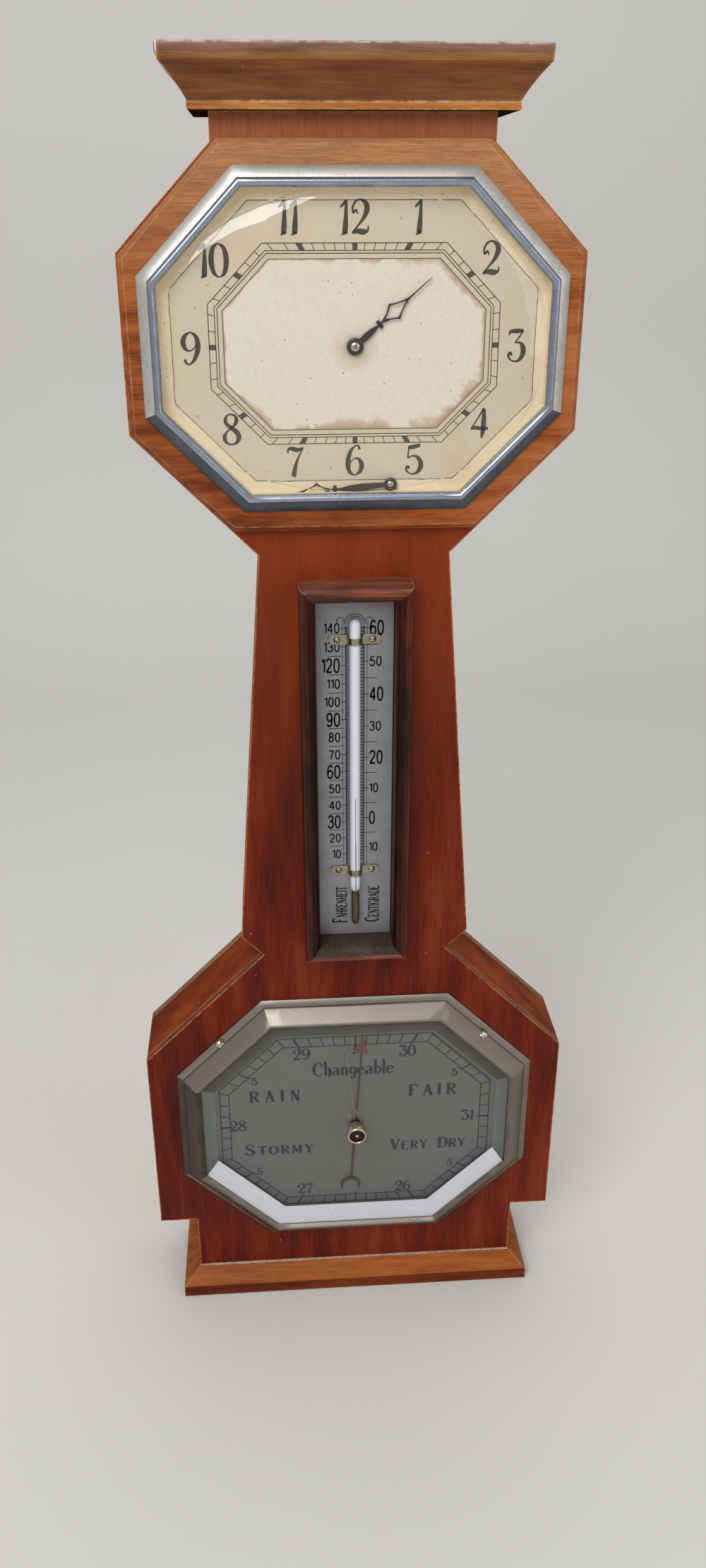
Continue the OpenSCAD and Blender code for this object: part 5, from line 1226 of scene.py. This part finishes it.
def makeThermometerScale():
    bm = bmesh.new()
    y = scaleY - 0.03
    low, high = heightF(3), heightF(141)
    for sign in (-1, 1):
        rule(bm, (sign * 5.0, low), (sign * 5.0, high), 0.5, y)
        rule(bm, (sign * 6.9, low), (sign * 6.9, high + 3), 0.22, y)
    small = dict(shapes=plainFigures, high=5.3, stretch=0.92, gap=0.14, small=1.0, thick=0.85, thin=0.85)
    large = dict(small, high=7.8, stretch=0.74, gap=0.12, thick=1.25, thin=1.25)
    # Each scale's side, height, first and last degree, tick width, fives and how often a large number comes
    for sign, height, first, tens, last, tick, fives, every in ((-1, heightF, 4, 10, 140, 0.46, (6.2, 14.8),
                                                                 30),
                                                                (1, heightC, -14, -10, 60, 0.55,
                                                                 (5.0, 12.6), 20)):
        for degree in range(first, last + 1):
            rule(bm, (sign * 5.0, height(degree)), (sign * 3.4, height(degree)), tick, y)
        for degree in range(tens, last + 1, 10):
            rule(bm, (sign * 7.9, height(degree)), (sign * 5.0, height(degree)), 0.36, y)
            if degree < last:
                rule(bm, (sign * fives[0], height(degree + 5)), (sign * fives[1], height(degree + 5)), 0.36,
                     y)
            write(bm, str(abs(degree)), (sign * 8.3, height(degree)), small if degree % every else large, y,
                  align=1.0 if sign < 0 else 0.0)
    unit = dict(shapes=capitals, high=8.2, stretch=0.64, gap=0.05, small=0.74, thick=1.5, thin=0.72)
    for text, x in (("FAHRENHEIT", -9.2), ("CENTIGRADE", 10.2)):
        write(bm, text, (x, scaleBottom + 20.5), unit, y, turn=90)
    # Arch and scrolls over the tube, and small scrolls at its foot
    for radius, width in ((5.9, 0.4), (4.6, 0.3)):
        angles = [math.pi * i / 18 for i in range(19)]
        ruleAlong(bm, [(-radius * math.cos(a), high + 1 + radius * math.sin(a)) for a in angles], width, y)
    for sign in (-1, 1):
        for start, lift, radius, halfTurns in ((high + 3, 1, 2.0, 1.25), (low - 1.2, -1, 1.7, 1.1)):
            angles = [math.pi * halfTurns * i / 14 for i in range(15)]
            ruleAlong(bm, [(sign * (5.9 + radius - radius * math.cos(a)),
                            start + lift * radius * math.sin(a))
                           for a in angles], 0.38, y)
    faceFront(bm)
    settle("thermometerScale", bm, "scaleInk", slot="silvered_scale", sharp=180)


makeThermometerScale()
print("thermometer made")


# Clock

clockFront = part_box("clock_bezel")[0][1] / mm
clock = dict(size=[104.0, 79.6, 47.2], seat=8.2, glassY=-25.9, dome=4.0, dialY=-19.3,
             border=[89.1, 64.8, 38.7], track=[71.0, 46.4, 26.9], trackRows=(0.0, 3.2, 4.5, 6.9), block=2.6,
             hours={12: (0, 57.6), 1: (30.5, 57.6), 2: (65.6, 39.6), 3: (80, -0.4), 4: (63, -37.4),
                    5: (30, -54.9), 6: (0, -54.9), 7: (-30, -55.4), 8: (-62, -38.9), 9: (-80, -0.4),
                    10: (-67, 39.1), 11: (-31, 57.6)})


def makeClockBezel():
    c, f = clock, clockFront
    profile = [(0, boardY - 0.02), (0, boardY - 1.0), (0.25, boardY - 1.35), (4.9, f + 2.35),
               (5.15, f + 2.3),
               (5.35, f + 1.5), (5.7, f + 0.8), (6.3, f + 0.25), (7.0, f), (7.7, f + 0.08), (8.3, f + 0.42),
               (8.85, f + 1.0), (9.25, f + 1.8), (9.4, f + 2.7), (9.4, c["glassY"] - 0.02), (c["seat"],
                                                                                             c["glassY"]),
               (c["seat"], boardY - 0.02)]
    # The bead takes the bead nickel, and the bottom and lower diagonal sides take the dark copy as painted
    # shade and reflection
    piece = mitredRing("clockBezel", octagon, c["size"], profile, (0, clockZ), "nickelClockBezel", steps=12,
                       materialOf=lambda side, j: 1 if 4 <= j <= 13 else 2 if side in (4, 5,
                                                                                       6) else 0, sharp=38,
                       materials=["nickelClockBezel", "nickelBeadLine",
                                  "nickelClockShade"], slot="bezel_metal")
    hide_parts("clock_bezel")


def makeClockGlass():
    # A slumped glass: flat at its edge, then rising steeply and flattening towards the middle
    c = clock
    bm = bmesh.new()
    inner = insetSize(c["size"], c["seat"])
    rings = []
    for inset, rise in ((0, 0), (1.6, 0.0), (2.4, 0.07), (4.5, 0.24), (8, 0.42), (13, 0.58), (20, 0.75),
                        (30, 0.89),
                        (42, 0.97), (55, 1.0)):
        loop = octagon(inner, inset)
        rings.append([vertex(bm, x, c["glassY"] - c["dome"] * rise + 0.05, z + clockZ) for x, z in loop])
    for one, two in zip(rings, rings[1:]):
        bridge(bm, one, two)
    bm.faces.new(rings[-1])
    faceFront(bm)
    piece = settle("clockGlass", bm, "domedGlass", slot="glass", sharp=60)
    grown = piece.modifiers.new("roundOver", "SUBSURF")
    grown.levels = grown.render_levels = 2
    shell = piece.modifiers.new("glassThickness", "SOLIDIFY")
    shell.thickness = 0.0012
    shell.offset = -1.0
    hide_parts("clock_glass")


def makeClockDial():
    c = clock
    y = c["dialY"]
    dress("creamMargin", "clock_dial")
    rows = c["trackRows"]
    for name, size, inset, lift, material in (("clockDialBand", c["border"], 0.0, 0.02, "champagneBand"),
                                               ("clockDialCentre", c["track"], rows[-1], 0.04,
                                                "creamCentre")):
        bm = bmesh.new()
        sheet(bm, [(x, z + clockZ) for x, z in octagon(size, inset)], y - lift)
        faceFront(bm)
        settle(name, bm, material, slot="clock_dial_paint")
    ink = bmesh.new()
    depth = y - 0.06
    outlineRule(ink, octagon(c["border"]), (0, clockZ), 0.34, depth)
    for inset, width in zip(rows, (0.46, 0.44, 0.46, 0.36)):
        outlineRule(ink, octagon(c["track"], inset), (0, clockZ), width, depth)
    outer, inner = octagon(c["track"], rows[0]), octagon(c["track"], rows[1])
    for minute in range(60):
        angle = minute * 6
        p, q = edgeAlong(outer, angle), edgeAlong(inner, angle)
        if minute % 5 == 0:
            # A block fills the track between two rays
            half = math.degrees(c["block"] / 2 / Vector(p).length)
            corners = [edgeAlong(line, angle + side * half) for line,
                       side in ((outer, -1), (outer, 1), (inner, 1), (inner, -1))]
            sheet(ink, [(x, z + clockZ) for x, z in corners], depth)
        else:
            rule(ink, (p[0], p[1] + clockZ), (q[0], q[1] + clockZ), 0.4, depth)
    faceFront(ink)
    settle("clockDialTrack", ink, "fineInk", slot="clock_dial_paint", sharp=180)
    figures = bmesh.new()
    style = dict(shapes=dialFigures, high=14.6, stretch=0.98, gap=0.06, small=1.0, thick=2.6, thin=0.62)
    for hour, (x, z) in c["hours"].items():
        write(figures, str(hour), (x, clockZ + z), style, depth)
    faceFront(figures)
    settle("clockDialFigures", figures, "dialInk", slot="clock_dial_paint", sharp=180)


def handShape(size):
    # Right-hand edge of a leaf, collar, neck, open diamond and needle, as (out, along) points in mm
    leaf, collar, bar, low, wide, peak, merge, length = [size[key] for key in (
        "leaf", "collar", "bar", "open", "wide", "peak", "merge", "length")]
    lower = [(leaf * 0.55, 0.0), (leaf * 0.85, collar * 0.3), (leaf, collar * 0.5),
             (leaf * 0.75, collar * 0.75),
             (0.5, collar - 1.2), (0.6, collar - 1.0), (bar, collar - 0.9), (bar + 0.25, collar),
             (bar, collar + 0.9), (0.6, collar + 1.0), (0.5, low - 0.6)]
    diamond = [(0.8, low), (wide * 0.38, low + (peak - low) * 0.4),
               (wide * 0.66, low + (peak - low) * 0.72),
               (wide, peak), (wide * 0.55, peak + (merge - peak) * 0.34),
               (wide * 0.26, peak + (merge - peak) * 0.7), (0.42, merge)]
    return lower + diamond + [(0.3, merge + 4), (0.16, length - 1), (0.02, length)]


def diamondHole(size):
    # Right-hand edge of the diamond's opening
    rim, low, wide, peak, merge = [size[key] for key in ("rim", "open", "wide", "peak", "merge")]
    return [(0.0, low + rim * 1.4), (wide * 0.38 - rim * 0.6, low + (peak - low) * 0.5),
            (wide * 0.66 - rim * 0.7, low + (peak - low) * 0.78), (wide - rim * 1.5, peak + rim * 0.1),
            (wide * 0.55 - rim * 0.75, peak + (merge - peak) * 0.34), (0.0, merge - rim * 2.4)]


def makeHand(name, size, place, angle, near, body, replaced):
    # Built along +Z from the hub, as a front sheet with a hole, then thickened
    bm = bmesh.new()
    edge = handShape(size)
    outline = edge + [(-x, z) for x, z in reversed(edge)]
    hole = diamondHole(size)
    window = hole + [(-x, z) for x, z in reversed(hole[1:-1])]
    turn = Matrix.Rotation(math.radians(-angle), 2)

    def put(x, z):
        flat = turn @ Vector((x, z))
        return vertex(bm, place[0] + flat.x, near, place[1] + flat.y)
    outer = [put(x, z) for x, z in outline]
    inner = [put(x, z) for x, z in window]
    edges = [bm.edges.new((a, b)) for loop in (outer, inner) for a, b in zip(loop, loop[1:] + loop[:1])]
    bmesh.ops.triangle_fill(bm, use_beauty=True, edges=edges)
    for face in list(bm.faces):
        centre = face.calc_center_median() / mm
        unturned = turn.inverted() @ Vector((centre.x - place[0], centre.z - place[1]))
        if insidePolygon(unturned, window):
            bm.faces.remove(face)
    faceFront(bm)
    made = bmesh.ops.extrude_face_region(bm, geom=bm.faces[:])
    for item in made["geom"]:
        if isinstance(item, bmesh.types.BMVert):
            item.co.y += handThick * mm
    pointOutward(bm)
    hub = size["hub"]
    spun(bm, [(hub, near + handThick), (hub, near - 0.05), (hub * 0.92, near - 0.35),
              (hub * 0.72, near - 0.5),
              (hub * 0.55, near - 0.45), (hub * 0.48, near - 0.1), (0.2, near - 0.1)], place, 40)
    pointOutward(bm)
    piece = settle(name, bm, "handEnamel", body=body, slot="hand_paint", sharp=45)
    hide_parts(replaced)
    return piece


def insidePolygon(point, corners):
    inside = False
    for (x1, z1), (x2, z2) in zip(corners, corners[1:] + corners[:1]):
        if (z1 > point.y) != (z2 > point.y) and point.x < (x2 - x1) * (point.y - z1) / (z2 - z1) + x1:
            inside = not inside
    return inside


handThick = 0.4
fallen = (18.0, 562.12)
hands = {
    "hour": dict(length=49.0, leaf=1.65, collar=15.7, bar=1.9, open=18.2, peak=24.9, merge=34.4, wide=4.5,
                 rim=0.85,
                 hub=4.1),
    "minute": dict(length=60.0, leaf=1.8, collar=28.5, bar=2.0, open=31.5, peak=37.5, merge=47.0, wide=4.2,
                   rim=0.8,
                   hub=3.4),
}


def makeHands():
    makeHand("hourHand", hands["hour"], (0, clockZ), 50.0, -21.0, "hour_hand", "hour_hand")
    makeHand("minuteHand", hands["minute"], fallen, -94.5, -22.2, "loose_minute_hand", "minute_hand")
    for name, place, radius, near, body in (("handNut", (0, clockZ), 2.0, -22.6, "hands_arbor"),
                                            ("minuteBush", fallen, 1.7, -22.55, "loose_minute_hand")):
        bm = bmesh.new()
        spun(bm, [(radius, near + 1.4), (radius, near + 0.3), (radius * 0.8, near),
                  (radius * 0.45, near - 0.12),
                  (0.15, near - 0.16)], place, 30)
        pointOutward(bm)
        settle(name, bm, "nickelScrew", body=body, slot="movement_brass")


makeClockBezel()
makeClockGlass()
makeClockDial()
makeHands()
dress("creamMargin", "clock_spacer")
dress("spacerMetal", "barometer_spacer")
dress("movementBrass", "movement_front_plate", "movement_back_plate", "movement_pillars", "barrel",
      "centre_wheel", "third_wheel", "fourth_wheel", "balance_cock", "minute_wheel", "hour_wheel",
      "escape_wheel", "balance_wheel")
dress("polishedSteel", "plate_screws", "barrel_arbor", "click", "centre_arbor", "pallet_lever", "regulator",
      "main_lever", "rocking_arbor", "pointer_arbor", "spring_bridge")
dress("bluedSpring", "mainspring", "hairspring", "leaf_spring")
dress("tinnedCapsule", "vacuum_capsule")
dress("castIron", "aneroid_base")
print("clock made")


# Barometer

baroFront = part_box("barometer_bezel")[0][1] / mm
barometer = dict(size=[115.0, 97.2, 56.0], dialY=-18.6, glassY=-23.9,
                 glassBack=-22.9, glassFront=-25.4, bevel=11.5, seat=12.7,
                 facets=[9.0, 8.6, 9.0, 11.0, 17.4, 19.0, 17.4, 11.0],
                 facetStart=[2.6, 2.6, 2.6, 2.6, 1.2, 0.8, 1.2, 2.6],
                 track=[88.4, 68.8, 39.3], trackWide=6.0,
                 numbers={"28": (-77.4, 1.0), "29": (-34.7, 57.0), "30": (33.5, 56.4), "31": (74.6, 1.3),
                          "26": (32.1, -57.4), "27": (-34, -55.6)},
                 halves=[(0, 58.6), (-65.6, 37.2), (64.6, 37.6), (63.6, -38.6), (-64.6, -38.6)],
                 words={"RAIN": (-52.8, 24.4, capitals, 8.8, 1.12, 0.42, 1.0),
                        "FAIR": (50.3, 24.0, capitals, 8.8, 1.12, 0.36, 1.0),
                        "Changeable": (-1.5, 44.4, {**smallLetters, "C": capitals["C"]}, 10.4, 1.02, 0.07,
                                       1.0),
                        "STORMY": (-51.0, -19.9, capitals, 8.6, 1.3, 0.18, 0.8),
                        "VERY DRY": (48.5, -21.0, capitals, 8.6, 1.18, 0.13, 0.8)})


def makeBarometerBezel():
    b, f = barometer, baroFront
    # Thin outer flange, a small bright step, a broad slope up to the crest, then the lip over the glass
    profile = [(0, panelY), (0, panelY - 1.1), (0.2, panelY - 1.35), (3.7, panelY - 2.9),
               (3.95, panelY - 2.9),
               (4.15, panelY - 3.9), (4.5, panelY - 4.3), (11.3, f + 0.75), (11.8, f + 0.3), (12.5,
                                                                                              f), (13.3,
                                                                                                   f + 0.1),
               (14.8, f + 1.25), (15.2, f + 1.65), (15.2, b["glassY"] - 0.02), (b["seat"] + 0.1,
                                                                                b["glassY"]),
               (b["seat"] + 0.1, panelY)]
    # The left side takes the dark brown copy, and the right side and lower diagonals the dimmer one:
    # painted shade
    piece = mitredRing("barometerBezel", octagon, b["size"], profile, (0, baroZ), "nickelBarometerBezel",
                       steps=12,
                       sharp=30, slot="bezel_metal", materialOf=lambda side, j: {3: 1, 7: 2, 4: 2,
                                                                                 6: 2}.get(side, 0),
                       materials=["nickelBarometerBezel", "nickelBarometerShade", "nickelBarometerDull"])
    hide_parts("barometer_bezel")


def makeBarometerGlass():
    b = barometer
    bm = bmesh.new()
    seat = b["seat"] + 0.2
    base, rim, front = insetSize(b["size"], seat), b["glassY"] + 0.02, b["glassFront"]
    loops = [[vertex(bm, x, depth, z + baroZ) for x, z in octagon(base, inset)]
             for inset, depth in ((0, b["glassBack"]), (0, rim), (2.3, rim), (b["bevel"], front))]
    for one, two in zip(loops, loops[1:]):
        bridge(bm, one, two)
    bm.faces.new(loops[-1])
    bm.faces.new(list(reversed(loops[0])))
    pointOutward(bm)
    piece = settle("barometerGlass", bm, "bevelledGlass", slot="glass", sharp=3)
    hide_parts("barometer_glass")
    # Sheets laid on the bevel slopes carry painted reflection: pale and opaque on the lower sides,
    # half-clear grey on the left and right, half-clear dark on the upper sides
    for name, sides, material in (("lowerBevelReflectionSheet", (4, 5, 6), "groundBevel"),
                                  ("sideBevelReflectionSheet", (3, 7), "sideBevel"),
                                  ("upperBevelReflectionSheet", (0, 1, 2), "topBevel")):
        sheen = bmesh.new()
        loops, depths = [], []
        for share in (0.0, 0.06, 0.93, 1.0):
            loops.append(unevenOctagon(base, [a + (z - a) * share for a,
                                              z in zip(b["facetStart"], b["facets"])]))
            depths.append(front - 0.06 + (b["glassY"] - front) * (1 - share))
        for side in sides:
            for (one, y1), (two, y2) in zip(zip(loops, depths), zip(loops[1:], depths[1:])):
                after = (side + 1) % 8
                points = [(one[side], y1), (one[after], y1), (two[after], y2), (two[side], y2)]
                sheen.faces.new([vertex(sheen, x, y, z + baroZ) for (x, z), y in points])
        faceFront(sheen)
        settle(name, sheen, material, slot="glass", sharp=3)


def makeBarometerDial():
    b = barometer
    dress("silveredDial", "barometer_dial")
    bm = bmesh.new()
    depth = b["dialY"] - 0.05
    outer, inner = octagon(b["track"]), octagon(b["track"], b["trackWide"])
    thin, wholeInch, halfInch, longer = 0.75, 1.15, 1.35, 1.25
    outlineRule(bm, outer, (0, baroZ), thin, depth)
    outlineRule(bm, inner, (0, baroZ), thin, depth)
    for tick in range(60):
        angle = tick * 6
        wide = halfInch if tick % 10 == 5 else (wholeInch if tick % 5 == 0 else thin)
        p, q = edgeAlong(outer, angle), edgeAlong(inner, angle)
        over = longer if tick % 5 == 0 else 1.0
        q = (p[0] + (q[0] - p[0]) * over, p[1] + (q[1] - p[1]) * over)
        rule(bm, (p[0], p[1] + baroZ), (q[0], q[1] + baroZ), wide, depth)
    number = dict(shapes=dialFigures, high=8.3, stretch=1.0, gap=0.08, small=1.0, thick=1.75, thin=0.65)
    half = dict(number, high=5.6, thick=1.2, thin=0.6)
    for text, (x, z) in b["numbers"].items():
        write(bm, text, (x, baroZ + z), number, depth)
    for x, z in b["halves"]:
        write(bm, "5", (x, baroZ + z), half, depth)
    for text, (x, z, shapes, high, stretch, gap, small) in b["words"].items():
        write(bm, text, (x, baroZ + z), dict(shapes=shapes, high=high, stretch=stretch, gap=gap,
                                             small=small, thick=1.95,
                                             thin=0.7), depth)
    faceFront(bm)
    settle("barometerDialMarks", bm, "etchedInk", slot="silvered_dial", sharp=180)


def makeIndicatingHand():
    bm = bmesh.new()
    near, far = -19.8, -19.3
    top, arrow, half, tail, radius = 70.0, 14.0, 4.1, 46.8, 6.6
    turned = turnAbout(-3.8, (0, baroZ))
    cutOut(bm, turned([(-0.75, -tail), (0.75, -tail), (0.6, 0), (0.5, top - arrow + 1.8),
                       (-0.5, top - arrow + 1.8),
                       (-0.6, 0)]), near, far)
    marked = len(bm.faces)
    cutOut(bm, turned([(half, top - arrow), (0.25, top), (-0.25, top), (-half, top - arrow),
                       (0, top - arrow + 2.2)]),
           near, far)
    bm.faces.ensure_lookup_table()
    for face in bm.faces[marked:]:
        face.material_index = 1
    # An arch open downwards, thickest at its crown
    steps, opening, sweep = 24, -35, 250
    spokes = []
    for i in range(steps + 1):
        a = math.radians(opening + sweep * i / steps)
        thick = 0.6 + 1.8 * max(0.0, math.sin(math.pi * i / steps)) ** 0.7
        spokes.append([(r * math.cos(a), -tail - radius + 0.5 + r * math.sin(a)) for r in (radius,
                                                                                           radius - thick)])
    for one, two in zip(spokes, spokes[1:]):
        cutOut(bm, turned([one[0], two[0], two[1], one[1]]), near, far)
    for z in (-tail * 0.55, top * 0.52):
        cutOut(bm, turned([(-0.8, z), (0, z - 1.2), (0.8, z), (0, z + 1.2)]), near - 0.05, far)
    spun(bm, [(3.0, far), (3.0, near), (2.6, near - 0.3), (0.2, near - 0.35)], (0, baroZ), 32)
    pointOutward(bm)
    piece = settle("indicatingHand", bm, "pointerEnamel", body="indicating_hand",
                   materials=["pointerEnamel", "pointerRed"],
                   slot="pointer_paint", sharp=40)
    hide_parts("indicating_hand")


def makeSetHand():
    bm = bmesh.new()
    near, far = -22.0, -21.6
    turned = turnAbout(6, (0, baroZ))
    cutOut(bm, turned([(-0.42, 0), (0.42, 0), (0.2, 58), (-0.2, 58)]), near, far)
    # Two barbs make an open arrow head
    for sign in (-1, 1):
        barb = [(0, 65), (sign * 4.3, 53), (sign * 3.75, 53), (0, 63.2)]
        cutOut(bm, turned(barb if sign < 0 else barb[::-1]), near, far)
    spun(bm, [(3.0, far), (3.0, near), (2.6, near - 0.2), (0.2, near - 0.25)], (0, baroZ), 32)
    pointOutward(bm)
    piece = settle("setHand", bm, "paleBrass", body="set_hand", slot="pale_brass", sharp=40)
    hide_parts("set_hand")


def makeSetKnob():
    bm = bmesh.new()
    # A long knurled barrel between two plain rims, with a deep dark front
    y, r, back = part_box("set_knob")[0][1] / mm, 6.2, barometer["glassFront"] - 0.8

    def knurl(i, depth):
        return -0.34 * (i % 2) if y + 1.0 < depth < back - 1.0 else 0.0
    edge = r - 0.1
    spun(bm, [(1.1, -21.5), (1.1, back), (r - 1.0, back), (r - 0.5, back - 0.3), (r - 0.5, back - 0.95),
              (edge, back - 1.3), (edge, y + 1.3), (r - 0.3, y + 0.95), (edge, y + 0.75), (edge, y + 0.35),
              (r - 0.4, y), (r - 1.0, y), (r - 1.3, y + 0.3), (r - 1.5, y + 1.4), (1.2, y + 1.5),
              (1.1, y + 0.5), (0.15, y + 0.35)], (0, baroZ), 96, knurl)
    bm.faces.ensure_lookup_table()
    for face in bm.faces:
        spot = face.calc_center_median() / mm
        if 1.15 < math.hypot(spot.x, spot.z - baroZ) < r - 1.25 and spot.y < y + 1.6:
            face.material_index = 1
    pointOutward(bm)
    piece = settle("setKnob", bm, "knobBrass", body="set_hand", materials=["knobBrass", "pointerEnamel"],
                   slot="brass",
                   sharp=40)
    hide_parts("set_knob")


def makeBezelScrews():
    # One dome on each upper slanting side, the left one further out on the flange
    bm = bmesh.new()
    a, b, c = barometer["size"]
    inward, radius = 5.2 / math.sqrt(2), 3.1
    x = a - c / 2 - inward - 1.0
    z = baroZ + b - c / 2 - inward + 1.0
    domeScrew(bm, (x, z), panelY - 4.9, radius, 2.7, 0.9, 0.6)
    domeScrew(bm, (-x - 4.0, z + 0.6), panelY - 2.8, radius, 2.8, -0.9, 0.6)
    pointOutward(bm)
    piece = settle("bezelScrews", bm, "nickelScrew", slot="bezel_metal")
    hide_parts("bezel_screws")


makeBarometerBezel()
makeBarometerGlass()
makeBarometerDial()
makeIndicatingHand()
makeSetHand()
makeSetKnob()
makeBezelScrews()
print("barometer made")


# Floor, light and camera

studio = dict(floor="#dcdad5", grain="#d6d4cf", rough=0.85, front=-3.0, wall=1.6, bend=0.5, high=4.0,
              half=4.0,
              drop=0.0002, world=0.42, aim=(0, 0, 0.4),
              # Each lamp's place, size in metres and power in watts
              lamps={"keyLight": ((-0.7, -1.6, 1.9), 1.3, 29.5), "fillLight": ((1.5, -1.3, 1.0), 1.4, 5.0),
                     "topLight": ((0.1, 0.3, 2.3), 1.2, 10.0)})


def makeStudio():
    s = studio
    material, tree, shader = startMaterial("studioSweep")
    grain = cloud(tree, objectPlace(tree), 3.0, 3.0)
    feed(tree, shader, {"Base Color": mixColour(tree, grain, paint(s["floor"]), paint(s["grain"])),
                        "Roughness": s["rough"]})
    finish["studioSweep"] = material
    # Floor and wall are one sheet with a rounded bend between them
    bm = bmesh.new()
    bend, start = s["bend"], s["wall"] - s["bend"]
    path = [(s["front"], 0.0), (start, 0.0)]
    angles = [math.pi / 2 * i / 12 for i in range(1, 13)]
    path += [(start + bend * math.sin(a), bend * (1 - math.cos(a))) for a in angles]
    path += [(s["wall"], s["high"])]
    rows = [[bm.verts.new((x, y, z - s["drop"])) for x in (-s["half"], s["half"])] for y, z in path]
    for one, two in zip(rows, rows[1:]):
        bm.faces.new((one[0], one[1], two[1], two[0]))
    pointOutward(bm)
    sweep = linked("studioSweep", smoothMesh("studioSweep", bm, ["studioSweep"]))
    world = bpy.data.worlds.new("softStudio")
    world.use_nodes = True
    feed(world.node_tree, world.node_tree.nodes["Background"],
         {"Color": (1, 1, 1, 1), "Strength": s["world"]})
    bpy.context.scene.world = world
    for name, (place, size, power) in s["lamps"].items():
        data = bpy.data.lights.new(name, "AREA")
        data.shape = "SQUARE"
        data.size = size
        data.energy = power
        lamp = linked(name, data)
        lamp.location = place
        lamp.rotation_mode = "QUATERNION"
        lamp.rotation_quaternion = (Vector(s["aim"]) - Vector(place)).to_track_quat("-Z", "Y")


# Camera fitted to the photograph: place in metres, turns in degrees, focal length and height in pixels
view = dict(place=(-0.0445, -0.6523, 0.6945), down=25.580, turn=3.905, roll=-0.102, focus=1734.9, high=2222,
            sensor=36)


def makeCamera():
    v = view
    down, turn, roll = math.radians(v["down"]), math.radians(v["turn"]), math.radians(v["roll"])
    forward = Vector((math.sin(turn) * math.cos(down), math.cos(turn) * math.cos(down), -math.sin(down)))
    right = Vector((math.cos(turn), -math.sin(turn), 0))
    up = right.cross(forward)
    rightRolled = right * math.cos(roll) + up * math.sin(roll)
    upRolled = up * math.cos(roll) - right * math.sin(roll)
    data = bpy.data.cameras.new("photoView")
    data.sensor_width = v["sensor"]
    data.lens = v["focus"] / v["high"] * v["sensor"]
    data.clip_start = 0.01
    camera = linked("photoView", data)
    camera.matrix_world = Matrix((
        (rightRolled.x, upRolled.x, -forward.x, v["place"][0]),
        (rightRolled.y, upRolled.y, -forward.y, v["place"][1]),
        (rightRolled.z, upRolled.z, -forward.z, v["place"][2]), (0, 0, 0, 1)))
    bpy.context.scene.camera = camera


makeStudio()
makeCamera()
print("studio set")
